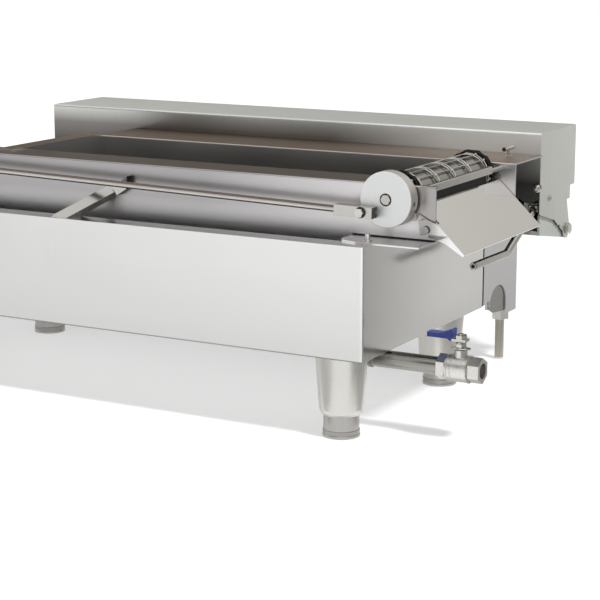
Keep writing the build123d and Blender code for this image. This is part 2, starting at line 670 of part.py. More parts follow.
wing_x = rear_rail_end + 1.0
front_wing = 61.0
rear_wing = rear_rail_y - chute_side
ear_bottom = hook_z - 6.0
with BuildPart() as chute:
    plate_xz([chute_top, chute_tip, (chute_tip[0] + drop_x, chute_tip[1] + drop_z),
              (chute_top[0] + drop_x, chute_top[1] + drop_z)], rail_far + chute_side, rear_wing)
    plate_xz([(wing_x, chute_z(wing_x)), chute_tip, (chute_tip[0] + drop_x, chute_tip[1] + drop_z),
              (wing_x + drop_x, chute_z(wing_x) + drop_z)], front_wing, rail_far + chute_side + 1)
    plate_xz([(wing_x, chute_z(wing_x)), chute_tip, (chute_tip[0] - 2, chute_tip[1] - 2.5),
              (chute_tip[0] - 24.5, chute_tip[1] + 11), (wing_x - 2, ear_bottom - 4), (hook_x - 7, ear_bottom),
              (hook_x - 9, hook_z + 11), (hook_x, hook_z + 12)], front_wing, front_wing + sheet)
    plate_xz([(hook_x - 6, chute_z(hook_x - 6) - 1.5), (hook_x + 14, chute_z(hook_x + 14) - 1.5),
              (hook_x + 12, ear_bottom), (hook_x - 6, ear_bottom)], rear_wing - sheet, rear_wing)
    for y0, y1 in ((front_wing, front_wing + sheet), (rear_wing - sheet, rear_wing)):
        bar_y(hook_x, hook_z, hook_r + run_gap, y0, y1, Mode.SUBTRACT)
        block((hook_x - hook_r - run_gap, hook_x + hook_r + run_gap), (y0, y1), (ear_bottom - 9, hook_z),
              Mode.SUBTRACT)
save(chute, "chute")

with BuildPart() as hook_pins:
    bar_y(hook_x, hook_z, hook_r, front_wing - 1, front_rail_y)
    bar_y(hook_x, hook_z, 5.0, front_wing - 3, front_wing - 1)
    bar_y(hook_x, hook_z, hook_r, rear_wing - sheet - 2, rear_rail_y)
save(hook_pins, "hook_pins")

# Rear pedestal: skirt beside the tank, arched cut in both ends, stud sockets and the left hinge block
base_right = -10.0
base_left = 13.0 - tank_length
base_depth = 139.0
base_back = tank_depth + base_depth
base_low = leg_height - 30.0
base_top = leg_height + 97.0
skirt_low = leg_height - 2.0
skirt_end = tank_depth + 46.0
arch_half = 28.0
arch_rise = 25.0
arch_y = skirt_end + arch_half
arch_z = leg_height - 10.0
pivot_y = base_back
pivot_z = base_top - 8.0
pivot_r = 4.0
hinge_back = pivot_y + 14.0
hinge_block = 22.0
stud_r = 6.0
stud_in = 13.0
stud_at = [(base_right - 18, base_back - stud_in), (base_left + 18, base_back - stud_in)]
socket_half = 16.0
socket_top = base_low + 32.0
with BuildPart() as pedestal:
    block((base_left, base_right), (tank_depth, base_back), (base_low, base_top))
    block((base_left + sheet, base_right - sheet), (tank_depth + sheet, base_back - sheet),
          (base_low, base_top - sheet), Mode.SUBTRACT)
    block((base_left, base_right), (tank_depth, skirt_end), (base_low, skirt_low), Mode.SUBTRACT)
    block((base_left, base_right), (skirt_end, arch_y + arch_half), (base_low, arch_z), Mode.SUBTRACT)
    with BuildSketch(face_yz(base_left)) as arch:
        with Locations((arch_y, arch_z)):
            Ellipse(arch_half, arch_rise)
    extrude(arch.sketch, amount=base_right - base_left, mode=Mode.SUBTRACT)
    for (x, y), wall in zip(stud_at, (base_right - sheet, base_left + sheet)):
        block((min(x - socket_half, wall), max(x + socket_half, wall)), (y - socket_half, base_back - sheet),
              (base_low, socket_top))
        bar_z(x, y, stud_r, base_low, socket_top, Mode.SUBTRACT)
    block((base_left, base_left + hinge_block), (base_back - sheet, hinge_back), (pivot_z - 13, base_top))
    bar_x(pivot_y, pivot_z, 8.0, base_left - 1.8, base_left)
    bar_x(pivot_y, pivot_z, pivot_r, base_left - 1.8, base_left + 16, Mode.SUBTRACT)
save(pedestal, "pedestal")

nut_height = 12.5
with BuildPart() as base_studs:
    for x, y in stud_at:
        bar_z(x, y, stud_r, 0, socket_top)
        hex_z(x, y, 22.0, base_low - nut_height, base_low)
save(base_studs, "base_studs")

# Hinge bracket under the right end of the housing, with the lever's lug
bracket_end = 57.0
bracket_front = tank_depth + 48.0
lug_x = (37.0, 43.0)
lever_y = tank_depth + 50.0
lever_z = base_top + 34.0
wall_t = 3.0
with BuildPart() as hinge_bracket:
    plate_yz([(bracket_front, base_top - 5), (hinge_back, pivot_z - 15), (hinge_back, base_top),
              (bracket_front, base_top)], base_right, bracket_end)
    plate_yz([(bracket_front + wall_t, base_top - 12), (hinge_back - wall_t, pivot_z - 25),
              (hinge_back - wall_t, base_top - wall_t), (bracket_front + wall_t, base_top - wall_t)],
             base_right + wall_t, bracket_end - wall_t, Mode.SUBTRACT)
    bar_x(pivot_y, pivot_z, 7.5, bracket_end - 20, bracket_end - wall_t)
    plate_yz([(lever_y - 9, lever_z + 4), (lever_y - 5, lever_z + 9), (lever_y + 6, lever_z + 9),
              (lever_y + 13, base_top), (bracket_front, base_top)], *lug_x)
    bar_x(pivot_y, pivot_z, pivot_r, bracket_end - 20, bracket_end, Mode.SUBTRACT)
    bar_x(lever_y, lever_z, pivot_r, *lug_x, Mode.SUBTRACT)
save(hinge_bracket, "hinge_bracket")

# Tilting rear housing: stepped at the back, end plates cut to the hinge lugs, tongue over the lever
hood_left = 9.0 - tank_length
hood_right = 60.0
hood_front = flange_edge + 2.0
hood_top = rail_top + 28.0
hood_low = base_top + seat_gap
hood_heel = base_top + 32.0
hood_step = base_top + 50.0
hood_waist = base_back - 9.0
hood_back = base_back + 11.0
notch_x = (30.0, 58.0)
notch_mid = sum(notch_x) / 2
notch_top = lever_z + 15.0
tongue_drop = 10.0
lug_half = 13.0
with BuildPart() as housing:
    plate_yz([(hood_front, hood_low), (hood_waist, hood_low), (hood_waist, hood_heel), (hood_back, hood_heel),
              (hood_back, hood_step), (machine_depth, hood_step), (machine_depth, hood_top),
              (hood_front, hood_top)], hood_left, hood_right)
    fillet(housing.edges().filter_by(Axis.X).group_by(Axis.Z)[-1], 3.0)
    plate_yz([(hood_front + sheet, hood_low), (hood_waist - sheet, hood_low),
              (hood_waist - sheet, hood_heel + sheet), (hood_back - sheet, hood_heel + sheet),
              (hood_back - sheet, hood_step + sheet), (machine_depth - sheet, hood_step + sheet),
              (machine_depth - sheet, hood_top - sheet), (hood_front + sheet, hood_top - sheet)],
             hood_left + sheet, hood_right - sheet, Mode.SUBTRACT)
    with BuildSketch(face_xz(hood_front)) as notch:
        with Locations((notch_mid, (hood_low + notch_top) / 2)):
            Rectangle(notch_x[1] - notch_x[0], notch_top - hood_low)
        with Locations((notch_mid, notch_top)):
            Ellipse((notch_x[1] - notch_x[0]) / 2, tongue_drop, mode=Mode.SUBTRACT)
    extrude(notch.sketch, amount=-sheet, mode=Mode.SUBTRACT)
    for x0 in (hood_left, hood_right - sheet):
        plate_yz([(hood_front, hood_low), (hood_front + 70, hood_low), (hood_front + 55, hood_low + 9.5),
                  (hood_front + 17, hood_low + 19.5), (hood_front, hood_low + 24.5)], x0, x0 + sheet,
                 Mode.SUBTRACT)
        plate_yz([(pivot_y - 26, hood_low + 30), (pivot_y - 25, pivot_z + 5), (pivot_y, pivot_z - 10),
                  (pivot_y + 12, pivot_z + 2), (pivot_y - 1, hood_heel + sheet)], x0, x0 + sheet)
        bar_x(pivot_y, pivot_z, lug_half, x0, x0 + sheet)
        bar_x(pivot_y, pivot_z, pivot_r + run_gap, x0, x0 + sheet, Mode.SUBTRACT)
save(housing, "housing")

with BuildPart() as pivot_bolts:
    bar_x(pivot_y, pivot_z, pivot_r, bracket_end - 20, hood_right + 0.4)
    hex_x(pivot_y, pivot_z, 13.0, hood_right + 0.4, hood_right + 5.7)
    bar_x(pivot_y, pivot_z, pivot_r, hood_left - 0.4, base_left + 16)
    hex_x(pivot_y, pivot_z, 13.0, hood_left - 5.7, hood_left - 0.4)
save(pivot_bolts, "pivot_bolts")

# Hand lever on the lug and its pin
lever_x = 50.0
lever_r = 5.0
eye_half = lever_r + 0.5
lever_path = [(lever_y, lever_z), (lever_y - 96, lever_z - 47.5), (lever_y - 203, lever_z - 46.5)]
with BuildPart() as hand_lever:
    with BuildLine() as lever_line:
        FilletPolyline(*[at(lever_x, y, z) for y, z in lever_path], radius=24)
    with BuildSketch(Plane(lever_line.line @ 0, z_dir=lever_line.line % 0)) as lever_section:
        Circle(lever_r)
    sweep(lever_section.sketch, path=lever_line.line)
    chamfer(hand_lever.edges().filter_by(GeomType.CIRCLE).sort_by(Axis.Y)[0], 1.2)
    bar_x(lever_y, lever_z, 9.0, lever_x - eye_half, lever_x + eye_half)
    bar_x(lever_y, lever_z, pivot_r + run_gap, lever_x - 12, lever_x + 12, Mode.SUBTRACT)
save(hand_lever, "hand_lever")

with BuildPart() as lever_pin:
    bar_x(lever_y, lever_z, pivot_r, lug_x[0], lever_x + eye_half + 1.9)
    bar_x(lever_y, lever_z, 6.5, lug_x[1], lever_x - eye_half - 0.3)
    bar_x(lever_y, lever_z, 6.5, lever_x + eye_half + 0.3, lever_x + eye_half + 1.9)
save(lever_pin, "lever_pin")

# Glaze pump set on the pedestal, under the housing
pump_y = tank_depth + 88.0
pump_z = base_top + 29.0
pump_left = -430.0
motor_end = pump_left + 140.0
pump_end = motor_end + 50.0
saddle = 12.0
saddle_half = 18.0
with BuildPart() as pump_set:
    bar_x(pump_y, pump_z, 26.0, pump_left, motor_end)
    bar_x(pump_y, pump_z, 20.0, motor_end, pump_end)
    for x in (pump_left + 15.0, motor_end - 25.0):
        block((x, x + saddle), (pump_y - saddle_half, pump_y + saddle_half), (base_top, pump_z))
save(pump_set, "pump_set")
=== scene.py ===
# %% [markdown]
# # A donut glazing machine in brushed steel
# The machine is a shallow dip tank on bullet legs. A ladder-chain conveyor carries donuts through the glaze
# and up to a chute at the right end. The fixed frame below holds every rigid part in its place, so this
# lesson only adds surface finishes, the fine pieces that solids leave out, and a plain studio.

# %% Load the frame
import json

import bmesh
import bpy
import numpy as np
from math import radians
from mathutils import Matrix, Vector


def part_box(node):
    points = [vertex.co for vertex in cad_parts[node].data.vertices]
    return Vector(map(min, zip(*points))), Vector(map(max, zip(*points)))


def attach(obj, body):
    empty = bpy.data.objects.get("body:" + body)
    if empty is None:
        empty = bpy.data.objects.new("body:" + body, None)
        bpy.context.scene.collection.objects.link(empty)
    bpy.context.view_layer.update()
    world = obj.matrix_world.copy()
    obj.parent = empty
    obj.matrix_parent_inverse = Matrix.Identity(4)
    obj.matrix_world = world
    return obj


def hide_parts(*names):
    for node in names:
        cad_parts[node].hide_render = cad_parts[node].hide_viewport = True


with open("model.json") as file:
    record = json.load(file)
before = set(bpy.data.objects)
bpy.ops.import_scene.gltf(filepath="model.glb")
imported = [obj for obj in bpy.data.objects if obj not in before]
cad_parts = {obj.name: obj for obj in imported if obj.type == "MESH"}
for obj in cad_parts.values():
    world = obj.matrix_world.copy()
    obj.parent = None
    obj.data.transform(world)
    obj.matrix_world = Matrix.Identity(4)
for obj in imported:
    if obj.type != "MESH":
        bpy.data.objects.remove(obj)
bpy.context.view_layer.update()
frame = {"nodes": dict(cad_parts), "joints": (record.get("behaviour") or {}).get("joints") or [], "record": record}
nodes = frame["nodes"]
MM = 0.001

# %% [markdown]
# Colours are picked on a screen as hex values, but light adds up in linear numbers. One function changes
# the first into the second. A second one adds a shader node with its settings, its socket values and its
# links in one call, which keeps each finish short enough to read as a recipe.


# %% Colour and node helpers
def linear(hex_colour):
    """Linear RGBA of an sRGB hex value: below 0.04045 divide by 12.92, above it raise to the power 2.4."""
    srgb = np.array([int(hex_colour[i:i + 2], 16) for i in (1, 3, 5)]) / 255
    value = np.where(srgb <= 0.04045, srgb / 12.92, ((srgb + 0.055) / 1.055) ** 2.4)
    return (*value.tolist(), 1.0)


def add_node(tree, kind, sockets=None, links=None, **settings):
    """One shader node with its properties, socket values and links from (node, output) pairs."""
    node = tree.nodes.new(kind)
    for name, value in settings.items():
        setattr(node, name, value)
    for name, value in (sockets or {}).items():
        node.inputs[name].default_value = value
    for name, (source, output) in (links or {}).items():
        tree.links.new(source.outputs[output], node.inputs[name])
    return node


def new_finish(name, **sockets):
    """An empty material with one Principled shader, whose uniform values are set on its own sockets."""
    material = bpy.data.materials.new(name)
    material.use_nodes = True
    tree = material.node_tree
    tree.nodes.clear()
    shader = add_node(tree, "ShaderNodeBsdfPrincipled", sockets)
    add_node(tree, "ShaderNodeOutputMaterial", links={"Surface": (shader, "BSDF")})
    return material, tree, shader


def per_metre(*sizes_mm):
    """Mapping scale at which one unit of a pattern covers the given sizes."""
    return tuple(1 / (size * MM) for size in sizes_mm)


# A Mix node has sockets for each type of data. These are the places of its two colours and of their mix.
COLOUR_A, COLOUR_B, COLOUR_OUT = 6, 7, 2
print("light grey is", linear("#dcdbd9"))

# %% [markdown]
# Sheet stainless is finished with an abrasive belt. The belt leaves long fine scratches, upright on the
# walls and lengthwise on the flanges. A stretched noise draws them. A scratch is really about 0.2 mm wide,
# too fine for this picture, so it is drawn about 1 mm wide. Its tone stays close to the steel's own, because
# what the eye sees is mostly a soft mirror. A second noise, a hand's breadth across, adds the faint clouding
# of handled sheet. Folded edges catch the light on a small radius, which the Bevel node gives the shading.
# A panel also mirrors the room it stands in, and this studio is plainer than a real room. So each fade paints
# a reflection or a shade into the tone: it turns the tone slowly along a panel, the way such a mirror image or
# shade would. A face that looks up, to +X or to +Y can also take a painted tone of its own, for the reflection
# or shade that such a face shows.

# %% Brushed stainless
CLOUD_MM = 120.0
CLOUD_SHARE = 0.55
NOISE_LOW, NOISE_HIGH = 0.3, 0.7
FADE_SHARE = 0.9
TURNED = 0.5
GRAIN_DEPTH_MM = 0.1
GRAIN_STRENGTH = 0.012


def brushed_steel(name, dark, light, smooth, rough, scratch_mm=1.1, length_mm=70.0, edge_mm=0.7, inside=None,
                  top=None, end=None, fades=(), dull=None, lean=0.7):
    """Stretched noise for scratches, chosen by the face's direction, over a broad noise for clouding. Each
    painted light fade (axis, start, stop, shade) paints reflection or shade: it turns the tone of faces that
    look to -Y to another between two places in millimetres. Faces that look to +Y take the inside tone, to +X
    the end tone and up the top tone, where one is given; these tones too paint reflection or shade. Dull
    (start, stop, roughness) makes faces that look up rough, and the others between two places along X. A face
    looks up or down where the size of Z in its direction is over lean."""
    material, tree, shader = new_finish(name, Metallic=1.0)
    place = add_node(tree, "ShaderNodeTexCoord")
    upright = add_node(tree, "ShaderNodeMapping", {"Scale": per_metre(scratch_mm, scratch_mm, length_mm)},
                       {"Vector": (place, "Object")})
    lengthwise = add_node(tree, "ShaderNodeMapping", {"Scale": per_metre(length_mm, scratch_mm, scratch_mm)},
                          {"Vector": (place, "Object")})
    facing = add_node(tree, "ShaderNodeSeparateXYZ", links={"Vector": (place, "Normal")})
    height = add_node(tree, "ShaderNodeMath", links={0: (facing, "Z")}, operation="ABSOLUTE")
    flat = add_node(tree, "ShaderNodeMath", {1: lean}, {0: (height, "Value")}, operation="GREATER_THAN")
    along = add_node(tree, "ShaderNodeMix", data_type="VECTOR",
                     links={"Factor": (flat, "Value"), "A": (upright, "Vector"), "B": (lengthwise, "Vector")})
    scratch = add_node(tree, "ShaderNodeTexNoise", {"Scale": 1.0, "Detail": 3.0, "Roughness": 0.55},
                       {"Vector": (along, "Result")})
    broad = add_node(tree, "ShaderNodeMapping", {"Scale": per_metre(CLOUD_MM, CLOUD_MM, CLOUD_MM)},
                     {"Vector": (place, "Object")})
    cloud = add_node(tree, "ShaderNodeTexNoise", {"Scale": 1.0, "Detail": 2.0}, {"Vector": (broad, "Vector")})
    both = add_node(tree, "ShaderNodeMix", {"Factor": CLOUD_SHARE},
                    {"A": (scratch, "Fac"), "B": (cloud, "Fac")})
    tint = add_node(tree, "ShaderNodeMapRange", {"From Min": NOISE_LOW, "From Max": NOISE_HIGH},
                    {"Value": (both, "Result")})
    tone = add_node(tree, "ShaderNodeMix", {COLOUR_A: linear(dark), COLOUR_B: linear(light)},
                    {0: (tint, "Result")}, data_type="RGBA")
    spot = add_node(tree, "ShaderNodeSeparateXYZ", links={"Vector": (place, "Object")})
    front = add_node(tree, "ShaderNodeMath", {1: -TURNED}, {0: (facing, "Y")}, operation="LESS_THAN")
    # Painted reflection and painted shade: each fade turns the tone of faces that look to -Y.
    for axis, start, stop, shade in fades:
        share = add_node(tree, "ShaderNodeMapRange", {"From Min": start * MM, "From Max": stop * MM,
                                                      "To Max": FADE_SHARE}, {"Value": (spot, axis)})
        here = add_node(tree, "ShaderNodeMath", links={0: (share, "Result"), 1: (front, "Value")},
                        operation="MULTIPLY")
        tone = add_node(tree, "ShaderNodeMix", {COLOUR_B: linear(shade)},
                        {0: (here, "Value"), COLOUR_A: (tone, COLOUR_OUT)}, data_type="RGBA")
    # Painted reflection or painted shade on faces that look to +Y or to +X.
    for axis, shade in (("Y", inside), ("X", end)):
        if shade:
            here = add_node(tree, "ShaderNodeMath", {1: TURNED}, {0: (facing, axis)},
                            operation="GREATER_THAN")
            tone = add_node(tree, "ShaderNodeMix", {COLOUR_B: linear(shade)},
                            {0: (here, "Value"), COLOUR_A: (tone, COLOUR_OUT)}, data_type="RGBA")
    # Painted reflection or painted shade on faces that look up or down.
    if top:
        tone = add_node(tree, "ShaderNodeMix", {COLOUR_B: linear(top)},
                        {0: (flat, "Value"), COLOUR_A: (tone, COLOUR_OUT)}, data_type="RGBA")
    shader.inputs["Roughness"].default_value = rough
    if smooth < rough:
        gloss = add_node(tree, "ShaderNodeMapRange",
                         {"From Min": NOISE_LOW, "From Max": NOISE_HIGH, "To Min": smooth, "To Max": rough},
                         {"Value": (both, "Result")})
        if dull:
            start, stop, matte = dull
            share = add_node(tree, "ShaderNodeMapRange", {"From Min": start * MM, "From Max": stop * MM},
                             {"Value": (spot, "X")})
            here = add_node(tree, "ShaderNodeMath", links={0: (share, "Result"), 1: (flat, "Value")},
                            operation="MAXIMUM")
            gloss = add_node(tree, "ShaderNodeMix", {"B": matte}, {"Factor": (here, "Value"),
                                                                  "A": (gloss, "Result")})
        tree.links.new(gloss.outputs["Result"], shader.inputs["Roughness"])
    relief = add_node(tree, "ShaderNodeBump", {"Strength": GRAIN_STRENGTH, "Distance": GRAIN_DEPTH_MM * MM},
                      {"Height": (scratch, "Fac")})
    if edge_mm:
        edge = add_node(tree, "ShaderNodeBevel", {"Radius": edge_mm * MM}, samples=4)
        tree.links.new(edge.outputs["Normal"], relief.inputs["Normal"])
    tree.links.new(tone.outputs[COLOUR_OUT], shader.inputs["Base Color"])
    tree.links.new(relief.outputs["Normal"], shader.inputs["Normal"])
    return material


finishes = {}
# Belt-ground sheet gives the eye a soft, pale mirror with faint upright lines. On its front a painted
# reflection makes it paler to the right and a shade darker low down, and a painted shadow draws a dark line at
# its foot.
finishes["sheet_steel"] = brushed_steel("brushed_sheet_stainless", "#dfdfde", "#e7e7e6", 0.15, 0.21, 0.9,
                                        fades=[("X", -250, 220, "#ededec"), ("Z", 200, 112, "#dededd"),
                                               ("Z", 101.8, 100.4, "#7a7876")])
# Spun tube gives a smooth band of light down its length, a little warmer than sheet.
finishes["leg_steel"] = brushed_steel("spun_tube_stainless", "#cecdc8", "#d8d7d2", 0.29, 0.37, 0.9, 40.0)
# Ground bar stock gives sharp, slightly warm highlights.
finishes["bright_steel"] = brushed_steel("ground_bar_stainless", "#c9c6c1", "#d8d5d0", 0.12, 0.20, 0.7, 12.0,
                                         edge_mm=0.4)
# Drawn rod keeps lengthwise lines and a warm sheen. The nuts of the rear studs are cut from it too.
finishes["rod_steel"] = brushed_steel("drawn_rod_stainless", "#d2cfca", "#e0ddd9", 0.16, 0.24, 0.8, 30.0, 0.5)
# The long coupling rod is the same stock, with a brown painted reflection on its faces that look up or down.
long_rod = brushed_steel("handled_rod_stainless", "#d2cfca", "#e0ddd9", 0.40, 0.40, 0.8, 30.0, 0.5,
                         top="#6f625b", lean=0.45)
# The trough's rear rail keeps its grey mill face, a darker mirror than ground sheet. A brown painted reflection
# lies on its flange, and a painted highlight makes its front pale at the right end.
mill_sheet = brushed_steel("mill_sheet_stainless", "#b7b6b3", "#bdbbb9", 0.28, 0.34, 0.5, edge_mm=0.4,
                           top="#a28e7c", fades=[("X", 300, 330, "#efedef")])
# The pedestal's panels are the same sheet with a dull pass of the belt, so they look paler.
panel_sheet = brushed_steel("dull_sheet_stainless", "#cfced0", "#d6d5d7", 0.28, 0.34, 0.5, edge_mm=0.4)
# The front rail is ground outside. On its front a painted reflection makes it paler to the right as far as the
# crank disc and paler low down, and a painted shadow of the disc darkens it beyond. Its faces into the trough
# take a tone of their own, and its flange a darker painted reflection.
rail_sheet = brushed_steel("half_ground_sheet_stainless", "#b0aeaf", "#b4b2b3", 0.28, 0.28, 0.5, edge_mm=0.0,
                           inside="#b0b0af", top="#9a948f",
                           fades=[("X", 50, 300, "#e4e1e2"), ("X", 334, 352, "#a9a6a5"),
                                  ("Z", 262, 232, "#f0eff0")])
# The chute is polished, so donuts slide: a clear mirror with hardly any grain. A painted reflection makes its
# side white along the slope, and a painted shade makes it grey at the hook.
polished_sheet = brushed_steel("polished_sheet_stainless", "#d6d4d0", "#dad8d4", 0.06, 0.10,
                               fades=[("X", 370, 360, "#a8a4a3"), ("X", 366, 386, "#ffffff")])
# The rear housing is galvanised sheet: paler than stainless, dull on top and to the right. On its front,
# painted reflection and shade make it darker downward from its top edge, paler to the right and near black at
# its foot.
zinc_sheet = brushed_steel("galvanised_sheet_steel", "#d7d9d5", "#e2e4e0", 0.285, 0.29, 3.0, 25.0,
                           fades=[("Z", 330, 304, "#75706c"), ("X", 60, 230, "#fbfdfc"),
                                  ("Z", 303, 262, "#282624")], dull=(120, 300, 0.55))
# Brace, nose bar, lever and head shaft are left as they came from the drawing bench, so they stay darker than
# ground sheet.
drawn_stock = brushed_steel("drawn_stock_stainless", "#b6b4af", "#c4c2bd", 0.20, 0.26, 0.9, 40.0)
# The drain pipe was pickled after welding, which leaves it duller and darker still.
pipe_steel = brushed_steel("pickled_pipe_stainless", "#96948f", "#a09e99", 0.24, 0.24, 0.9, 40.0)
# The turned feet are a shade paler than the pipe.
foot_steel = brushed_steel("turned_foot_stainless", "#a9a7a4", "#b3b1ae", 0.28, 0.34, 0.9, 40.0)
# The forked ends are sawn from bar with ground sides. The near black on their faces that look to +X is a
# painted shade.
fork_steel = brushed_steel("sawn_bar_stainless", "#c0bdb8", "#ccc9c4", 0.16, 0.24, 0.8, 30.0, 0.5,
                           end="#2c2624")
# Passivated studs have a straw tint over their zinc.
straw_zinc = brushed_steel("passivated_zinc", "#c8c4b4", "#d6d2c3", 0.28, 0.36, 0.9, 12.0)
# Belt wire is thin and drawn bright, with a glint along each bend.
drawn_wire = brushed_steel("drawn_wire_stainless", "#b4b1ac", "#c6c3be", 0.14, 0.22, 0.6, 8.0, 0.2)
print("brushed finishes:", sorted(finishes))

# %% [markdown]
# The valve is an investment casting, blasted with beads. Its skin is a matte grey made of tiny dimples.
# The crank discs are turned from aluminium plate and bead blasted too, so they look paler and drier. Both
# use one recipe with a round noise in place of the stretched one, and only the dimple size differs. Oiled
# chain steel, with its coarser skin, takes the same recipe.

# %% Blasted metals
ROUND_LOW, ROUND_HIGH = 0.35, 0.65
BLAST_STRENGTH = 0.12
BLAST_EDGE_MM = 0.5


def blasted_metal(name, dark, light, smooth, rough, dimple_mm, depth_mm, rim=None):
    """Round noise of the dimple's size for tone and relief. Faces that don't look along Y take the rim tone,
    where one is given."""
    material, tree, shader = new_finish(name, Metallic=1.0)
    place = add_node(tree, "ShaderNodeTexCoord")
    fine = add_node(tree, "ShaderNodeMapping", {"Scale": per_metre(dimple_mm, dimple_mm, dimple_mm)},
                    {"Vector": (place, "Object")})
    dimple = add_node(tree, "ShaderNodeTexNoise", {"Scale": 1.0, "Detail": 3.0}, {"Vector": (fine, "Vector")})
    tint = add_node(tree, "ShaderNodeMapRange", {"From Min": ROUND_LOW, "From Max": ROUND_HIGH},
                    {"Value": (dimple, "Fac")})
    colour = add_node(tree, "ShaderNodeMix", {COLOUR_A: linear(dark), COLOUR_B: linear(light)},
                      {0: (tint, "Result")}, data_type="RGBA")
    if rim:
        facing = add_node(tree, "ShaderNodeSeparateXYZ", links={"Vector": (place, "Normal")})
        across = add_node(tree, "ShaderNodeMath", links={0: (facing, "Y")}, operation="ABSOLUTE")
        side = add_node(tree, "ShaderNodeMath", {1: TURNED}, {0: (across, "Value")}, operation="LESS_THAN")
        colour = add_node(tree, "ShaderNodeMix", {COLOUR_B: linear(rim)},
                          {0: (side, "Value"), COLOUR_A: (colour, COLOUR_OUT)}, data_type="RGBA")
    gloss = add_node(tree, "ShaderNodeMapRange", {"To Min": smooth, "To Max": rough},
                     {"Value": (tint, "Result")})
    edge = add_node(tree, "ShaderNodeBevel", {"Radius": BLAST_EDGE_MM * MM}, samples=4)
    relief = add_node(tree, "ShaderNodeBump", {"Strength": BLAST_STRENGTH, "Distance": depth_mm * MM},
                      {"Height": (dimple, "Fac"), "Normal": (edge, "Normal")})
    tree.links.new(colour.outputs[COLOUR_OUT], shader.inputs["Base Color"])
    tree.links.new(gloss.outputs["Result"], shader.inputs["Roughness"])
    tree.links.new(relief.outputs["Normal"], shader.inputs["Normal"])
    return material


# Cast stainless gives a dull pewter tone with a granular skin.
finishes["cast_steel"] = blasted_metal("bead_blasted_cast_stainless", "#d8d6d2", "#e6e4e0", 0.30, 0.42,
                                       dimple_mm=1.2, depth_mm=0.15)
# Blasted aluminium gives an even, pale, almost chalky face, and a greyer rim where the lathe left it.
finishes["machined_alloy"] = blasted_metal("bead_blasted_aluminium", "#e6e8e7", "#eef0ef", 0.42, 0.52,
                                           dimple_mm=1.0, depth_mm=0.05, rim="#cdc8c3")
# Oiled chain steel gives near-black plates with a wet sheen.
finishes["chain_steel"] = blasted_metal("oiled_chain_steel", "#2b2a29", "#4b4845", 0.28, 0.38,
                                        dimple_mm=3.0, depth_mm=0.2)
print("finishes so far:", sorted(finishes))

# %% [markdown]
# What is left is not bare metal: the dipped vinyl sleeve on the valve handle, a rubber strip, white acetal
# bearings and the enamel on motor, pump and bracket. They share one recipe: a base colour with a slight
# mottle, and an orange-peel relief of the right size for paint, moulded plastic or rubber. Then every part of
# the frame gets its finish: its own where one was made for it, or else the one of its slot.

# %% Plastics, rubber and enamel
PEEL_STRENGTH = 0.2


def coated(name, dark, light, roughness, peel_mm, depth_mm, ior):
    """Round noise of the surface's own ripple for a slight mottle and relief."""
    material, tree, shader = new_finish(name, Roughness=roughness, IOR=ior)
    place = add_node(tree, "ShaderNodeTexCoord")
    fine = add_node(tree, "ShaderNodeMapping", {"Scale": per_metre(peel_mm, peel_mm, peel_mm)},
                    {"Vector": (place, "Object")})
    ripple = add_node(tree, "ShaderNodeTexNoise", {"Scale": 1.0, "Detail": 2.0}, {"Vector": (fine, "Vector")})
    tint = add_node(tree, "ShaderNodeMapRange", {"From Min": ROUND_LOW, "From Max": ROUND_HIGH},
                    {"Value": (ripple, "Fac")})
    colour = add_node(tree, "ShaderNodeMix", {COLOUR_A: linear(dark), COLOUR_B: linear(light)},
                      {0: (tint, "Result")}, data_type="RGBA")
    relief = add_node(tree, "ShaderNodeBump", {"Strength": PEEL_STRENGTH, "Distance": depth_mm * MM},
                      {"Height": (ripple, "Fac")})
    tree.links.new(colour.outputs[COLOUR_OUT], shader.inputs["Base Color"])
    tree.links.new(relief.outputs["Normal"], shader.inputs["Normal"])
    return material


# Dipped vinyl gives a glossy, saturated blue with soft ripples.
finishes["sleeve_blue"] = coated("dipped_blue_vinyl", "#103084", "#183c98", 0.28, 6.0, 0.3, 1.53)
# Nitrile rubber gives a dry black.
finishes["strip_black"] = coated("black_nitrile_rubber", "#161616", "#242424", 0.7, 1.5, 0.2, 1.52)
# Acetal gives a waxy white.
finishes["bearing_plastic"] = coated("white_acetal", "#d8d7d0", "#e6e5df", 0.45, 4.0, 0.1, 1.48)
# Baked enamel gives an even grey with an orange-peel gloss.
finishes["motor_grey"] = coated("grey_baked_enamel", "#6d7072", "#7c7f81", 0.35, 2.5, 0.2, 1.5)
# The bracket's enamel is a pale grey-green.
finishes["bracket_grey"] = coated("pale_baked_enamel", "#b9bdb6", "#c4c8c1", 0.4, 2.5, 0.2, 1.5)
own_finish = {"rear_rail": mill_sheet, "trough_lip": mill_sheet, "pedestal": panel_sheet,
              "front_rail": rail_sheet, "chute": polished_sheet, "housing": zinc_sheet,
              "coupling_rod": long_rod, "leg_ends": foot_steel, "drain_pipe": pipe_steel,
              "hook_pins": pipe_steel, "clevises": fork_steel, "base_studs": finishes["rod_steel"]}
for node in ("brace_bar", "nose_bar", "hand_lever", "head_shaft"):
    own_finish[node] = drawn_stock
for part in frame["record"]["subparts"]:
    slots = nodes[part["node"]].data.materials
    slots.clear()
    slots.append(own_finish.get(part["node"], finishes[part["material_slot"]]))

# %% [markdown]
# Fine pieces are grids of points: rows along a path, columns round a profile. One function turns a whole
# stack of such grids into a single closed mesh, caps the ends, turns every face outwards, and hangs the
# piece on the body that carries it. Places and sizes are in metres, as Blender has them, and only the rows
# of a turned profile are in millimetres.

# %% From grids of points to a piece
CREASE = radians(40)


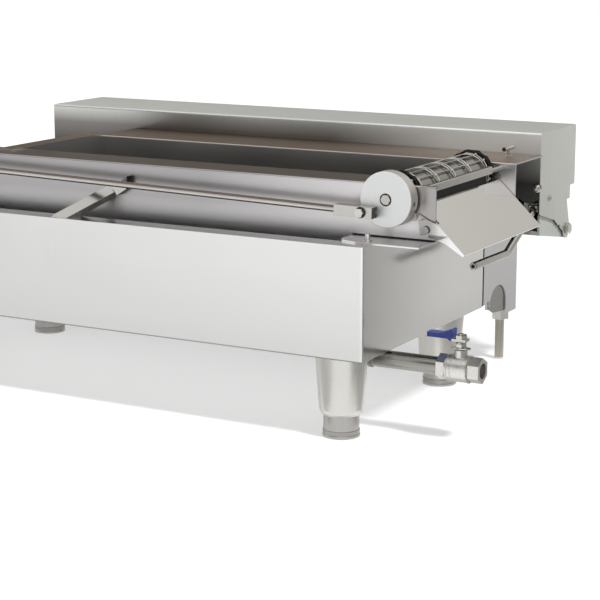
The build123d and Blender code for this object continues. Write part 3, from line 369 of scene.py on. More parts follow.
def lay_skin(name, grids, body, slot, smooth=True, ring=False, finish=None):
    """Mesh of many equal grids (copies, rows, columns, 3): quads between rows, caps on the first and last
    row, or none of them where the rows close to a ring."""
    copies, rows, columns, _ = grids.shape
    index = np.arange(copies * rows * columns).reshape(copies, rows, columns)
    ahead = np.roll(index, -1, axis=1) if ring else index[:, 1:]
    behind = index if ring else index[:, :-1]
    quads = np.stack([behind, np.roll(behind, -1, axis=2), np.roll(ahead, -1, axis=2), ahead], axis=-1)
    faces = quads.reshape(-1, 4).tolist()
    if not ring:
        faces += index[:, 0, ::-1].tolist() + index[:, -1].tolist()
    mesh = bpy.data.meshes.new(name)
    mesh.from_pydata(grids.reshape(-1, 3).tolist(), [], faces)
    shell = bmesh.new()
    shell.from_mesh(mesh)
    bmesh.ops.recalc_face_normals(shell, faces=shell.faces)
    shell.to_mesh(mesh)
    shell.free()
    if smooth:
        mesh.shade_smooth()
        mesh.set_sharp_from_angle(angle=CREASE)
    mesh.materials.append(finish or finishes[slot])
    piece = bpy.data.objects.new(name, mesh)
    bpy.context.scene.collection.objects.link(piece)
    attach(piece, body)
    print(name, "faces:", len(faces), "on", body)
    return piece


def joint_place(name):
    """Axis point of a joint, from the frame."""
    return np.array(next(joint["pos_m"] for joint in frame["joints"] if joint["name"] == name))


def corners(name):
    """Lowest and highest corner of a part as arrays."""
    return [np.array(corner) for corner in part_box(name)]


print("tank from", *corners("tank"))

# %% [markdown]
# The conveyor is two endless half-inch chains. Their pitch line runs level from the tail wheel, bends up
# through an arc, climbs to the head wheel, wraps it and returns below. A single function gives the point at
# any distance along that line for a whole array of distances at once, so every link, pin and wire can use
# it. A curve object could hold the same line, but the formula gives exact pitch points.

# %% The chain's pitch line
head = joint_place("head_spin")
tail = joint_place("tail_spin")
PITCH = 12.7 * MM
TEETH = 13
LINKS = 102
SLOPE = radians(32.0)
BEND = 66.5 * MM
wheel = PITCH / 2 / np.sin(np.pi / TEETH)
climb = (head[2] - tail[2] - BEND * (1 - np.cos(SLOPE))) / np.sin(SLOPE)
bend_x = head[0] - climb * np.cos(SLOPE) - BEND * np.sin(SLOPE)
bend_z = tail[2] + BEND
inner_bend = BEND - wheel
outer_bend = BEND + wheel
runs = np.array([bend_x - tail[0], inner_bend * SLOPE, climb, np.pi * wheel,
                 climb, outer_bend * SLOPE, bend_x - tail[0], np.pi * wheel])
loop_length = runs.sum()


def pitch_line(distance):
    """Points (x, z) on the loop: straight runs keep their direction, arcs turn by distance over radius."""
    s = np.mod(distance, loop_length)
    leg = np.searchsorted(np.cumsum(runs), s, side="right").clip(0, len(runs) - 1)
    s = s - np.concatenate([[0.0], np.cumsum(runs)[:-1]])[leg]
    sine, cosine = np.sin(SLOPE), np.cos(SLOPE)
    turn = SLOPE - s / outer_bend
    wrap = SLOPE - s / wheel
    x = np.choose(leg, [tail[0] + s, bend_x + inner_bend * np.sin(s / inner_bend),
                        head[0] - wheel * sine - (climb - s) * cosine, head[0] - wheel * np.sin(wrap),
                        head[0] + wheel * sine - s * cosine, bend_x + outer_bend * np.sin(turn),
                        bend_x - s, tail[0] - wheel * np.sin(s / wheel)])
    z = np.choose(leg, [tail[2] + wheel + 0 * s, bend_z - inner_bend * np.cos(s / inner_bend),
                        head[2] + wheel * cosine - (climb - s) * sine, head[2] + wheel * np.cos(wrap),
                        head[2] - wheel * cosine - s * sine, bend_z - outer_bend * np.cos(turn),
                        tail[2] - wheel + 0 * s, tail[2] - wheel * np.cos(s / wheel)])
    return np.stack([x, z], axis=-1)


pins = pitch_line(loop_length * np.arange(LINKS) / LINKS)
print("loop length in mm:", round(loop_length / MM, 2), "first pin:", pins[0])

# %% [markdown]
# A link plate is shaped like a figure eight: a round eye at each pin and a waist between them. As a polar
# outline its half height follows one formula, full at the eyes and drawn in at the middle. Plates alternate
# between an outer and an inner pair, with a roller on each pin. Each plate has a few dozen faces, because
# there are hundreds of them.

# %% Link plates, rollers and pins
EYE = 4.7 * MM
WAIST = 1.3 * MM
PLATE = 1.0 * MM
EYE_HOLD = 3.0
EYE_FULLNESS = 0.7
WAIST_REACH = 0.25 * PITCH
OUTER_PAIR = (0.2, 5.8)
INNER_PAIR = (1.3, 4.7)
CHAIN_MIDDLE = 3.5 * MM
chain_low, chain_high = corners("outer_links")
near_edge, far_edge = chain_low[1], chain_high[1]


def plate_outline(points=22):
    """Figure eight: x swings between the two eye ends, height is the eye's circle less a waist in between."""
    angle = np.linspace(0, 2 * np.pi, points, endpoint=False)
    along = PITCH / 2 * np.tanh(EYE_HOLD * np.cos(angle)) / np.tanh(EYE_HOLD) + EYE * np.cos(angle)
    tall = EYE * np.sign(np.sin(angle)) * np.abs(np.sin(angle)) ** EYE_FULLNESS
    return np.stack([along, tall * (1 - WAIST / EYE * np.exp(-(along / WAIST_REACH) ** 2))], axis=-1)


def link_plates(first, offsets):
    """Grids (copies, 2, outline, 3): the outline turned along each link and laid at every Y offset."""
    a = pins[first::2]
    b = np.roll(pins, -1, axis=0)[first::2]
    run = (b - a) / np.linalg.norm(b - a, axis=1, keepdims=True)
    up = np.stack([-run[:, 1], run[:, 0]], axis=-1)
    flat = plate_outline()
    spot = ((a + b) / 2)[:, None] + flat[None, :, :1] * run[:, None] + flat[None, :, 1:] * up[:, None]
    near = np.array(offsets)
    y = np.stack([near, near + PLATE], axis=-1)
    shape = (len(near), len(a), 2, len(flat))
    grid = np.empty(shape + (3,))
    grid[..., 0] = spot[None, :, None, :, 0]
    grid[..., 1] = y[:, None, :, None]
    grid[..., 2] = spot[None, :, None, :, 1]
    return grid.reshape(-1, 2, len(flat), 3)


AXES = {"x": ((0, 1, 0), (0, 0, 1), (1, 0, 0)), "y": ((1, 0, 0), (0, 0, 1), (0, 1, 0)),
        "z": ((1, 0, 0), (0, 1, 0), (0, 0, 1))}


def turned(spots, axis, rows, sides=24, form=None):
    """Grids of turned pieces: rows of (offset, radius) in millimetres carried round an axis at every spot.
    A form gives another outline as radius over angle, and each row's radius then only trims it."""
    u, v, w = [np.array(direction, float) for direction in AXES[axis]]
    angle = np.linspace(0, 2 * np.pi, sides, endpoint=False)
    offset, radius = np.array(rows, float).T * MM
    reach = np.repeat(radius[:, None], sides, axis=1)
    if form is not None:
        reach = np.minimum(reach, form(angle)[None, :] * MM)
    ring = np.cos(angle)[:, None] * u + np.sin(angle)[:, None] * v
    local = reach[:, :, None] * ring[None] + offset[:, None, None] * w
    return np.asarray(spots, float).reshape(-1, 1, 1, 3) + local[None]


def pins_at(y):
    """Pin places in space on the given lines across the machine."""
    return np.concatenate([np.stack([pins[:, 0], np.full(LINKS, one), pins[:, 1]], axis=-1) for one in y])


def plate_lines(pair):
    """Y of each plate's near face: the same distances in from both edges of the belt."""
    return [near_edge + inset * MM for inset in pair] + [far_edge - PLATE - inset * MM for inset in pair]


plates = np.concatenate([link_plates(0, plate_lines(OUTER_PAIR)), link_plates(1, plate_lines(INNER_PAIR))])
chain_plates = lay_skin("chain_plates", plates, "base", "chain_steel", smooth=False)
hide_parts("outer_links", "inner_links")
chain_lines = pins_at([near_edge + CHAIN_MIDDLE, far_edge - CHAIN_MIDDLE])
lay_skin("chain_rollers", turned(chain_lines, "y", [(-1.1, 3.9), (1.1, 3.9)], 12), "base", "bright_steel")
lay_skin("chain_pins", turned(chain_lines, "y", [(-3.6, 1.4), (-3.3, 1.8), (3.3, 1.8), (3.6, 1.4)], 8),
         "base", "bright_steel")

# %% [markdown]
# Between the chains lies a flat wire belt. Each strand is one wire across the belt, bent forward at a few
# places into a loop that hooks round the next strand. A sine wave would look like knitting; the real loops
# have square shoulders, so the forward step is a steep smooth step up and down. The wire is a round profile
# carried along that path, and the path lies on the same pitch line as the chains. Where the belt turns over
# the head shaft, a plain grey drum shows through its gaps.

# %% Wire belt
WIRE = 0.95 * MM
HOOK = 7.0 * MM
HOOK_REACH = PITCH + 2.2 * WIRE
SHOULDER = 0.8 * MM
SHOULDER_STOPS = SHOULDER * np.array([-2.5, -1, 0, 1, 2.5])
belt_low, belt_high = corners("cross_rods")
HOOK_SHARES = np.array([0.03, 0.27, 0.50, 0.73, 0.97])
hook_places = belt_low[1] + (belt_high[1] - belt_low[1]) * HOOK_SHARES


def square_step(y):
    """Sum over the hooks of a bump that is 1 within half a hook of its place, with steep smooth shoulders."""
    away = np.abs(y[:, None] - hook_places) - HOOK / 2
    return (0.5 - 0.5 * np.tanh(away / SHOULDER)).sum(axis=1)


def wire_stops():
    """Distances across the belt, crowded at the shoulders of each hook."""
    edges = np.concatenate([hook_places - HOOK / 2, hook_places + HOOK / 2])
    inside = (edges[:, None] + SHOULDER_STOPS).ravel()
    inside = inside[(inside > belt_low[1] + MM) & (inside < belt_high[1] - MM)]
    return np.sort(np.concatenate([[belt_low[1], belt_high[1]], inside]))


def wire_strands(sides=6):
    """Grids of strands: at each stop the loop distance is the strand's own plus the hook step, and the wire's
    ring stands on the path's tangent."""
    y = wire_stops()
    distance = loop_length * np.arange(LINKS)[:, None] / LINKS + HOOK_REACH * square_step(y)[None, :]
    line = pitch_line(distance)
    path = np.stack([line[..., 0], np.broadcast_to(y, line.shape[:2]), line[..., 1]], axis=-1)
    tangent = np.gradient(path, axis=1)
    tangent /= np.linalg.norm(tangent, axis=-1, keepdims=True)
    ahead = pitch_line(distance + MM) - line
    forward = np.stack([ahead[..., 0], 0 * ahead[..., 0], ahead[..., 1]], axis=-1) / MM
    across = np.array([0.0, 1.0, 0.0])
    normal = np.cross(across, forward)
    normal /= np.linalg.norm(normal, axis=-1, keepdims=True)
    side = np.cross(tangent, normal)
    side /= np.linalg.norm(side, axis=-1, keepdims=True)
    angle = np.linspace(0, 2 * np.pi, sides, endpoint=False)[:, None]
    ring = np.cos(angle) * side[:, :, None] + np.sin(angle) * normal[:, :, None]
    return path[:, :, None] + WIRE * ring


wire_belt = lay_skin("wire_belt", wire_strands(), "base", "bright_steel", finish=drawn_wire)
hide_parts("cross_rods")
DRUM_R = 24.0
DRUM_INSET = 10.0
DRUM_ROUND = 1.5
DRUM_DROP = 2.0
drum_half = (far_edge - near_edge) / 2 / MM - DRUM_INSET
drum_rows = [(-drum_half, DRUM_R - DRUM_DROP), (DRUM_ROUND - drum_half, DRUM_R),
             (drum_half - DRUM_ROUND, DRUM_R), (drum_half, DRUM_R - DRUM_DROP)]
drum_place = np.array([head[0], (near_edge + far_edge) / 2, head[2]])
lay_skin("belt_drum", turned([drum_place], "y", drum_rows, 64), "head", "rod_steel", finish=pipe_steel)

# %% [markdown]
# Small hardware is what tells a real machine from a model of one. Nuts are hexagons with their corners
# turned off, so the hexagon is a polar formula that each row of a turned profile trims. The valve has a
# packing nut, a cupped spring washer and a lock plate with two ears under its handle, and seams where the
# casting's halves meet. Farther left, a collar sits on the drain pipe.

# %% Valve hardware
LOCK_R = 6.5
LOCK_EAR = 6.0
EAR_SHARPNESS = 5
WELD_RIPPLE = 0.35
BOSS_TOP = 22.5 * MM
SEAM_PLACES = np.array([-12.5, -8.0, 12.0]) * MM
COLLAR_INSET = 27.0 * MM


def hexagon(flats):
    """Polar hexagon: half the flats over the cosine of the angle from the middle of the nearest side."""
    return lambda angle: flats / 2 / np.cos(np.mod(angle, np.pi / 3) - np.pi / 6)


def lock_plate(angle):
    """Round plate with two ears: a base radius plus a narrow swell on each side."""
    return LOCK_R + LOCK_EAR * np.abs(np.cos(angle)) ** EAR_SHARPNESS


def weld_bead(radius, ripples):
    """Ring whose radius ripples, as a row of overlapping weld pools does."""
    return lambda angle: radius + WELD_RIPPLE * np.cos(ripples * angle)


stem = joint_place("valve_turn")
boss_face = stem + (0, 0, BOSS_TOP)
stem_pieces = {"valve_lock_plate": ([(1.2, 13), (2.4, 13)], 40, lock_plate),
               "valve_packing_nut": ([(3.4, 6.0), (4.0, 9), (7.2, 9), (7.8, 6.2)], 36, hexagon(12.0)),
               "valve_spring_cup": ([(8.0, 5.2), (8.4, 7.0), (9.2, 7.0), (9.8, 5.6)], 30, None),
               "valve_stem_end": ([(17.0, 3.4), (18.6, 3.4), (19.2, 2.8)], 24, None)}
for name, (rows, sides, form) in stem_pieces.items():
    lay_skin(name, turned([boss_face], "z", rows, sides, form), "valve", "bright_steel")
seams = [stem + (x, 0, 0) for x in SEAM_PLACES]
seam_rows = [(-0.9, 15.6), (-0.5, 16.5), (0.5, 16.5), (0.9, 15.6)]
lay_skin("valve_seams", turned(seams, "x", seam_rows, 48), "base", "cast_steel")
collar_place = stem * (0, 1, 1) + (corners("tank")[1] - COLLAR_INSET) * (1, 0, 0)
collar_rows = [(-2.2, 10.8), (-1.8, 12.2), (1.8, 12.2), (2.2, 10.8)]
lay_skin("pipe_collar", turned([collar_place], "x", collar_rows, 40), "base", "leg_steel", finish=pipe_steel)

# %% [markdown]
# The feet, legs and studs carry their own marks of making: a knurled ring on each foot for a grip when the
# machine is levelled, a weld bead where each leg meets the tank, and a screw thread on the rear studs. The
# thread is a three-sided ridge carried along a helix.

# %% Feet, welds and threads
leg_low, leg_high = corners("legs")
LEG_R = 31.5 * MM
leg_spots = [(x, y, 0) for x in (leg_low[0] + LEG_R, leg_high[0] - LEG_R)
             for y in (leg_low[1] + LEG_R, leg_high[1] - LEG_R)]
KNURLS = 40
KNURL_R = 22.0
KNURL_RIDGE = 0.15
WELD_R = 32.2
WELD_POOLS = 40


def knurl(angle):
    """Round ring with fine even ridges."""
    return KNURL_R + KNURL_RIDGE * np.cos(KNURLS * angle)


ring_rows = [(2.6, 21.4), (3.0, 30), (8.6, 30), (9.0, 21.4)]
lay_skin("foot_rings", turned(leg_spots, "z", ring_rows, 4 * KNURLS, knurl), "base", "leg_steel",
         finish=pipe_steel)
weld_rows = [(98.2, 31.0), (98.6, 40), (99.9, 40)]
welds = turned(leg_spots, "z", weld_rows, 4 * WELD_POOLS, weld_bead(WELD_R, WELD_POOLS))
lay_skin("leg_welds", welds, "base", "leg_steel")

stud_low, stud_high = corners("base_studs")
NUT_FLATS = 22.0
NUT_CORNER = NUT_FLATS / 2 / np.cos(np.pi / 6) * MM
NUT_FOOT = 57.5 * MM
stud_y = (stud_low[1] + stud_high[1]) / 2
THREAD = 1.75 * MM
THREAD_FOOT = 1.5 * MM
RIDGE_RADII = np.array([6.05, 6.5, 6.05]) * MM
RIDGE_RISES = np.array([-0.87, 0.0, 0.87]) * MM
STEPS = 14


def thread_ridge(x, foot, top):
    """Grid (rows, 3, 3): a triangle of three points carried up a helix of the thread's pitch."""
    turns = (top - foot) / THREAD
    angle = np.linspace(0, 2 * np.pi * turns, int(turns * STEPS))
    lift = foot + THREAD * angle / (2 * np.pi)
    return np.stack([x + RIDGE_RADII * np.cos(angle)[:, None], stud_y + RIDGE_RADII * np.sin(angle)[:, None],
                     lift[:, None] + RIDGE_RISES], axis=-1)


threads = np.stack([thread_ridge(x, THREAD_FOOT, NUT_FOOT - MM)
                    for x in (stud_low[0] + NUT_CORNER, stud_high[0] - NUT_CORNER)])
lay_skin("stud_threads", threads, "base", "leg_steel", finish=straw_zinc)

# %% [markdown]
# A few more fasteners show on the conveyor and the housing: the socket screw that locks the crank disc, the
# hexagon bolt in its middle with a black rubber ring round it, the washer under the crank bolt, a dome-headed
# bolt on the housing's front, pan-head screws on its end plate and on the pedestal's back panel, and the
# plugged end of the hand lever. The ring's black also stands in for the shade in the bolt's counterbore. Each
# is a turned profile, given from one end to the other.

# %% Screws, rings and plug
SET_INSET = 4.0 * MM
HOOD_BOLT_INSET, HOOD_BOLT_HEIGHT = 3.3 * MM, 257.0 * MM
HOOD_SCREW_BACK, HOOD_SCREW_HEIGHT = 36.0 * MM, 239.0 * MM
PANEL_COLUMNS = 5
PANEL_SIDE, PANEL_TOP, PANEL_FOOT = 30.0 * MM, 24.0 * MM, 16.0 * MM
GRIP_HEIGHT = 184.5 * MM
disc_low, disc_high = corners("crank_disc")
disc_middle = (disc_low[1] + disc_high[1]) / 2
set_place = np.array([disc_high[0] - SET_INSET, disc_middle, head[2] - SET_INSET])
set_rows = [(-8, 3.1), (1.6, 3.1), (2.0, 2.7), (2.0, 1.7), (0.2, 1.5)]
lay_skin("disc_set_screw", turned([set_place], "x", set_rows, 18), "head", "chain_steel")
# Black ring round the hub bolt: a rubber seal whose black also paints the shade in the counterbore.
seal_rows = [(-0.1, 5.0), (-0.2, 5.4), (-0.2, 6.9), (-0.1, 7.3), (2.0, 7.3), (2.0, 5.0)]
disc_face = np.array([head[0], disc_low[1], head[2]])
lay_skin("disc_seal", turned([disc_face], "y", seal_rows, 40), "head", "strip_black", ring=True)
hub_rows = [(0.6, 6.3), (-0.7, 6.3), (-1.1, 5.4)]
lay_skin("disc_hub_bolt", turned([disc_face], "y", hub_rows, 36, hexagon(11.4)), "head", "bright_steel",
         smooth=False, finish=drawn_stock)
bolt_low, bolt_high = corners("crank_bolt")
washer_place = (bolt_low + bolt_high) / 2 * (1, 0, 1) + bolt_low * (0, 1, 0)
washer_rows = [(4.9, 6.0), (5.1, 6.6), (5.9, 6.6)]
lay_skin("crank_washer", turned([washer_place], "y", washer_rows, 32), "head", "chain_steel")
hood_low, hood_high = corners("housing")
bolt_place = np.array([hood_high[0] - HOOD_BOLT_INSET, hood_low[1], HOOD_BOLT_HEIGHT])
dome_rows = [(0.5, 6.2), (-1.2, 6.2), (-1.4, 4.6), (-4.2, 4.5), (-6.0, 3.4), (-6.8, 1.4)]
lay_skin("hood_bolt", turned([bolt_place], "y", dome_rows, 24), "hood", "bright_steel")
screw_place = np.array([hood_high[0], hood_low[1] + HOOD_SCREW_BACK, HOOD_SCREW_HEIGHT])
pan_rows = [(-0.5, 4.6), (0.6, 4.6), (0.8, 3.4), (2.2, 3.2), (3.0, 2.0), (3.0, 1.2), (2.0, 1.0)]
lay_skin("hood_screw", turned([screw_place], "x", pan_rows, 20), "hood", "bright_steel")
base_low, base_high = corners("pedestal")
panel_rows = [(-0.5, 4.2), (0.5, 4.2), (0.8, 3.2), (1.9, 3.0), (2.6, 1.8), (2.6, 1.1), (1.8, 0.9)]
panel_x = np.linspace(base_low[0] + PANEL_SIDE, base_high[0] - PANEL_SIDE, PANEL_COLUMNS)
panel_spots = [(x, base_high[1], z) for x in panel_x
               for z in (base_high[2] - PANEL_TOP, base_low[2] + PANEL_FOOT)]
lay_skin("panel_screws", turned(panel_spots, "y", panel_rows, 20), "base", "bright_steel")
lever_low, lever_high = corners("hand_lever")
grip_end = np.array([(lever_low[0] + lever_high[0]) / 2, lever_low[1], GRIP_HEIGHT])
plug_rows = [(1.6, 2.6), (-0.2, 2.6), (-0.3, 2.2)]
lay_skin("lever_plug", turned([grip_end], "y", plug_rows, 28), "lever", "strip_black")

# %% [markdown]
# Four more pieces are flat: the backs that close the pedestal's two arches, the cheek of the hinge bracket
# that fills the cut in the housing's end plate, the black rubber wiper under the nose bar and the pad that
# ties the brace to the rail. The wiper's black also stands in for the shade in the slot under the nose bar.
# Each is one outline of a few corners laid at two depths, so one function makes them all.

# %% Flat plates
ARCH_DEPTHS = np.array([2.3, 3.8]) * MM
ARCH_OUTLINE = np.array([(47, 16), (64, 8), (109, 4), (109, 49), (47, 49)]) * MM
CHEEK_DEPTHS = np.array([3.0, 0.1]) * MM
CHEEK_FRONT = 2.0 * MM
CHEEK_REAR = np.array([56, 72, 72]) * MM
CHEEK_RISE = np.array([-0.2, 22.0, 12.5, 2.0, -0.2]) * MM
WIPER_GAP = 39.0 * MM
WIPER_OUTLINE = np.array([(-2.6, -15), (-0.6, -15), (-0.6, -2.2), (3.4, -0.2), (3.4, 0.2), (-2.6, 0.2)]) * MM
PAD_DEPTHS = np.array([10.0, -0.2]) * MM
PAD_OUTLINE = np.array([(-10, -7), (-3, -16), (11, -7), (12, 9)]) * MM


def flat_plates(axis, depths, outline):
    """Grids (copies, 2, corners, 3): an upright outline of (level, Z) places, laid at each pair of depths
    along the axis, which is 0 for X and 1 for Y."""
    grid = np.empty((len(depths), 2, len(outline), 3))
    grid[..., axis] = np.array(depths)[:, :, None]
    grid[..., 1 - axis] = outline[:, 0]
    grid[..., 2] = outline[:, 1]
    return grid


arch_depths = [base_high[0] - ARCH_DEPTHS[::-1], base_low[0] + ARCH_DEPTHS]
arch_backs = flat_plates(0, arch_depths, base_low[1:] + ARCH_OUTLINE)
lay_skin("arch_backs", arch_backs, "base", "sheet_steel", smooth=False, finish=pipe_steel)
cheek_front = joint_place("lever_lift")[1] - CHEEK_FRONT
cheek_y = np.concatenate([[cheek_front, cheek_front], hood_low[1] + CHEEK_REAR])
cheek_outline = np.stack([cheek_y, base_high[2] + CHEEK_RISE], axis=-1)
cheek = flat_plates(0, [corners("hinge_bracket")[1][0] - CHEEK_DEPTHS], cheek_outline)
lay_skin("bracket_cheek", cheek, "base", "bracket_grey", smooth=False)
nose_low, nose_high = corners("nose_bar")
# Black wiper under the nose bar: its black also paints the shade in the slot there.
wiper = flat_plates(1, [(nose_low[1], nose_high[1] - WIPER_GAP)], nose_low[::2] + WIPER_OUTLINE)
lay_skin("nose_wiper", wiper, "base", "strip_black", smooth=False)
brace_high = corners("brace_bar")[1]
# The pad's face that looks to +X takes the fork steel's painted shade.
pad = flat_plates(1, [brace_high[1] - PAD_DEPTHS], brace_high[::2] + PAD_OUTLINE)
lay_skin("brace_pad", pad, "base", "sheet_steel", smooth=False, finish=fork_steel)

# %% [markdown]
# A bent wire latches the chute to a hexagon bolt on the front rail, and a black rubber cord fills the joint of
# tank and pedestal; its black also stands in for the shadow in that gap. Both are a round profile carried along
# a line of a few points. The line is smoothed first, because a wire that is bent by hand has no sharp corners.

# %% Latch and rear seal
LATCH_INSET, LATCH_HEIGHT = 27.0 * MM, 264.0 * MM
LATCH_WIRE = 1.1 * MM
LATCH_RUN = np.array([(0, -1.6, 3), (7, -2.0, 3.2), (18, -2.4, -3.2), (23, -2.4, -4.6),
                      (25.5, -2.4, -11)]) * MM
SEAL_CORD = 1.6 * MM
SEAL_RUN = np.array([(-1.2, -0.6, z) for z in (101, 148, 196)]) * MM
# The rings of a wire start from a direction that is nearly Y, which no stretch of these wires runs along.
NEARLY_Y = (0.0, 1.0, 0.001)


def bent_wire(line, radius, sides=10, steps=12, passes=6):
    """Grid of a round wire along a smoothed line: each point of the line carries a ring square to it."""
    share = np.linspace(0, len(line) - 1, steps * (len(line) - 1) + 1)
    path = np.stack([np.interp(share, np.arange(len(line)), line[:, i]) for i in range(3)], axis=-1)
    for _ in range(passes):
        path[1:-1] = (path[:-2] + 2 * path[1:-1] + path[2:]) / 4
    tangent = np.gradient(path, axis=0)
    tangent /= np.linalg.norm(tangent, axis=1, keepdims=True)
    side = np.cross(tangent, NEARLY_Y)
    side /= np.linalg.norm(side, axis=1, keepdims=True)
    over = np.cross(tangent, side)
    angle = np.linspace(0, 2 * np.pi, sides, endpoint=False)[:, None]
    return (path[:, None] + radius * (np.cos(angle) * side[:, None] + np.sin(angle) * over[:, None]))[None]


rail_low, rail_high = corners("front_rail")
latch = np.array([rail_high[0] - LATCH_INSET, rail_low[1], LATCH_HEIGHT])
latch_rows = [(0.3, 5.5), (-2.6, 5.5), (-3.2, 4.6)]
lay_skin("latch_bolt", turned([latch], "y", latch_rows, 36, hexagon(9.0)), "base", "bright_steel",
         finish=drawn_stock)
# The rear cord's black also paints the shadow in the gap between tank and pedestal.
seal_line = corners("tank")[1] * (1, 1, 0) + SEAL_RUN
lay_skin("rear_seal", bent_wire(seal_line, SEAL_CORD), "base", "strip_black")
lay_skin("latch_wire", bent_wire(latch + LATCH_RUN, LATCH_WIRE), "base", "bright_steel", finish=drawn_stock)

# %% [markdown]
# The gearmotor stands behind the front rail at the far end. Its motor sheds heat through thin rings, which
# are one turned profile repeated along the shaft's line, and four socket screws hold it to the gearbox.

# %% Motor rings and screws
FINS = 8
FIN_STEP = 6.0 * MM
GEAR_FACE = 56.0 * MM
SCREW_SQUARE = 21.5 * MM
drive = joint_place("drive_spin")
motor_end = corners("gearmotor")[1][1]
fin_y = motor_end - np.arange(1, FINS + 1) * FIN_STEP
fin_spots = np.stack([np.full(FINS, drive[0]), fin_y, np.full(FINS, drive[2])], axis=-1)
fin_rows = [(-0.9, 24.5), (-0.7, 26.8), (0.7, 26.8), (0.9, 24.5)]
lay_skin("motor_rings", turned(fin_spots, "y", fin_rows, 48), "base", "motor_grey")
screw_spots = [(drive[0] + x, motor_end - GEAR_FACE, drive[2] + z)
               for x in (-SCREW_SQUARE, SCREW_SQUARE) for z in (-SCREW_SQUARE, SCREW_SQUARE)]
socket_rows = [(-0.5, 3.4), (3.0, 3.4), (3.4, 2.8), (3.4, 1.6), (1.6, 1.4)]
lay_skin("motor_screws", turned(screw_spots, "y", socket_rows, 16), "base", "bright_steel")

# %% [markdown]
# The picture is a catalogue shot: a white ground, one soft shadow and metal that mirrors a bright room with
# a few darker things in it. White card all round would make steel look like plaster, so photographers hang
# toned cards just outside the picture. Here the cards can be seen only in reflections. The floor glows a
# little for the eye and for mirrors, which keeps it white while the shadow under the machine stays.


# %% Floor and cards
def flat_card(name, sheet_corners, paint):
    """A sheet of one face between four corners, which belongs to the studio and not to the machine."""
    mesh = bpy.data.meshes.new(name)
    mesh.from_pydata(sheet_corners, [], [(0, 1, 2, 3)])
    mesh.materials.append(paint)
    card = bpy.data.objects.new(name, mesh)
    bpy.context.scene.collection.objects.link(card)
    return card


def seen_directly(tree):
    """Light Path factor: 1 for camera, glossy and transmission rays."""
    path = add_node(tree, "ShaderNodeLightPath")
    first = add_node(tree, "ShaderNodeMath", links={0: (path, "Is Camera Ray"), 1: (path, "Is Glossy Ray")},
                     operation="MAXIMUM")
    return add_node(tree, "ShaderNodeMath", links={0: (first, "Value"), 1: (path, "Is Transmission Ray")},
                    operation="MAXIMUM")


FLOOR_REACH = 9.0
FLOOR_DROP = -0.5 * MM
FLOOR_GLOW = 0.48
floor_paint = bpy.data.materials.new("white_studio_floor")
floor_paint.use_nodes = True
tree = floor_paint.node_tree
tree.nodes.clear()
seen = seen_directly(tree)
glow = add_node(tree, "ShaderNodeMath", {1: FLOOR_GLOW}, {0: (seen, "Value")}, operation="MULTIPLY")
paper = add_node(tree, "ShaderNodeBsdfDiffuse", {"Color": linear("#dadada")})
lit = add_node(tree, "ShaderNodeEmission", {"Color": linear("#ffffff")}, {"Strength": (glow, "Value")})
sum_up = add_node(tree, "ShaderNodeAddShader", links={0: (paper, "BSDF"), 1: (lit, "Emission")})
add_node(tree, "ShaderNodeOutputMaterial", links={"Surface": (sum_up, "Shader")})
flat_card("studio_floor", [(x * FLOOR_REACH, y * FLOOR_REACH, FLOOR_DROP)
                           for x, y in ((-1, -1), (1, -1), (1, 1), (-1, 1))], floor_paint)


def toned_card(name, sheet_corners, tones, across="X"):
    """A card that only mirrors can see. Its tones follow each other at even steps along the first edge (X)
    or away from it (Y)."""
    paint = bpy.data.materials.new(name + "_tone")
    paint.use_nodes = True
    web = paint.node_tree
    web.nodes.clear()
    place = add_node(web, "ShaderNodeTexCoord")
    share = add_node(web, "ShaderNodeSeparateXYZ", links={"Vector": (place, "UV")})
    ramp = add_node(web, "ShaderNodeValToRGB", links={"Fac": (share, across)})
    ramp.color_ramp.elements[0].color = linear(tones[0])
    ramp.color_ramp.elements[1].color = linear(tones[-1])
    for step, tone in enumerate(tones[1:-1], 1):
        ramp.color_ramp.elements.new(step / (len(tones) - 1)).color = linear(tone)
    shine = add_node(web, "ShaderNodeEmission", links={"Color": (ramp, "Color")})
    add_node(web, "ShaderNodeOutputMaterial", links={"Surface": (shine, "Emission")})
    card = flat_card(name, sheet_corners, paint)
    card.data.uv_layers.new().data.foreach_set("uv", [0, 0, 1, 0, 1, 1, 0, 1])
    for rays in ("camera", "diffuse", "shadow", "transmission"):
        setattr(card, "visible_" + rays, False)


def standing(left, right, low, high):
    """Corners of a sheet that stands over a line on the floor."""
    return [(*left, low), (*right, low), (*right, high), (*left, high)]


def lying(left, right, near, far):
    """Corners of a sheet that lies level with the feet, a hair above the floor."""
    return [(left, near, 0.0), (right, near, 0.0), (right, far, 0.0), (left, far, 0.0)]


BACK_Y = 1.3
BACK_LEFT, BACK_SPLIT, BACK_RIGHT = -3.0, 0.15, 1.6
BACK_FOOT, BACK_MIDDLE, BACK_TOP = 0.30, 1.05, 2.0
BACK_TONES = ["#6e5a4c", "#5f4f44", "#3e3734", "#3a3431"]
SIDE_TONES = ["#c4c2be", "#e4e3df", "#f4f3f1"]
END_TONES = ["#9c9b98", "#a6a5a2", "#dddcd8", "#d2d1d0", "#cccbca"]
back_left, back_split, back_right = [(x, BACK_Y) for x in (BACK_LEFT, BACK_SPLIT, BACK_RIGHT)]
toned_card("back_card", standing(back_left, back_split, BACK_FOOT, BACK_MIDDLE), BACK_TONES, "Y")
toned_card("upper_card", standing(back_left, back_split, BACK_MIDDLE, BACK_TOP), ["#cfccc6", "#f2f1ef"], "Y")
toned_card("side_card", standing(back_split, back_right, BACK_FOOT, BACK_TOP), SIDE_TONES, "Y")
toned_card("front_card", standing(left=(-3.2, -2.4), right=(0.2, -2.4), low=0.55, high=2.2),
           ["#6e6a67", "#8a8784"])
toned_card("front_paper", lying(left=-1.6, right=0.6, near=-1.7, far=-0.56),
           ["#ececec", "#f4f4f4", "#ffffff"])
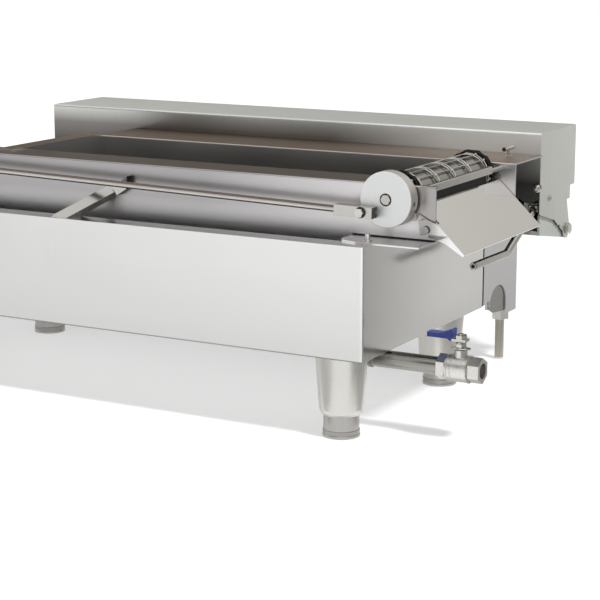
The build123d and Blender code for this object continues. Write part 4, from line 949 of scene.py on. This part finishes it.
toned_card("leg_paper", lying(left=-0.7, right=0.2, near=-0.55, far=-0.27), ["#cbcac7", "#cbcac7"])
toned_card("end_card", standing(left=(0.44, -0.30), right=(0.60, 1.2), low=0.0, high=0.36), END_TONES)
toned_card("end_paper", lying(left=0.33, right=0.60, near=-0.20, far=1.2), ["#c4c3c0", "#d2d1d0"])
print("floor and cards are in place, floor glow", FLOOR_GLOW)

# %% [markdown]
# The room's light is even and comes from all round. One wide lamp high on the right draws the shadow under
# the tank. It is hidden from mirrors, so that the steel shows only the room.

# %% World and lamp
AMBIENT = 0.26
LAMP_POWER = 2.35
LAMP_SPREAD = radians(7)
LAMP_TURN = (radians(11), radians(33), 0)
world = bpy.data.worlds.new("white_studio")
world.use_nodes = True
bpy.context.scene.world = world
tree = world.node_tree
tree.nodes.clear()
seen = seen_directly(tree)
level = add_node(tree, "ShaderNodeMapRange", {"To Min": AMBIENT, "To Max": 1.0}, {"Value": (seen, "Value")})
sky = add_node(tree, "ShaderNodeBackground", {"Color": linear("#ffffff")}, {"Strength": (level, "Result")})
add_node(tree, "ShaderNodeOutputWorld", links={"Surface": (sky, "Background")})

lamp = bpy.data.lights.new("overhead_lamp", "SUN")
lamp.energy = LAMP_POWER
lamp.angle = LAMP_SPREAD
overhead = bpy.data.objects.new("overhead_lamp", lamp)
overhead.rotation_euler = LAMP_TURN
overhead.visible_glossy = False
bpy.context.scene.collection.objects.link(overhead)
print("studio ready, ambient", AMBIENT)

# %% [markdown]
# The camera stands to the right of the front, a little above the machine, with a long lens. Its height and
# turn come from lining up the tank's edges, and the lens from how fast those edges close in.

# %% Camera
CAMERA_PLACE = (1.2057, -2.0430, 0.6000)
CAMERA_DIP = 12.02
CAMERA_TURN = 28.84
LENS_MM = 107.64
SENSOR_MM = 36.0
lens = bpy.data.cameras.new("catalogue_lens")
lens.lens = LENS_MM
lens.sensor_width = SENSOR_MM
camera = bpy.data.objects.new("catalogue_camera", lens)
camera.location = CAMERA_PLACE
camera.rotation_euler = (radians(90 - CAMERA_DIP), 0, radians(CAMERA_TURN))
bpy.context.scene.collection.objects.link(camera)
bpy.context.scene.camera = camera
bpy.context.scene.view_settings.view_transform = "Standard"
print("camera at", CAMERA_PLACE)
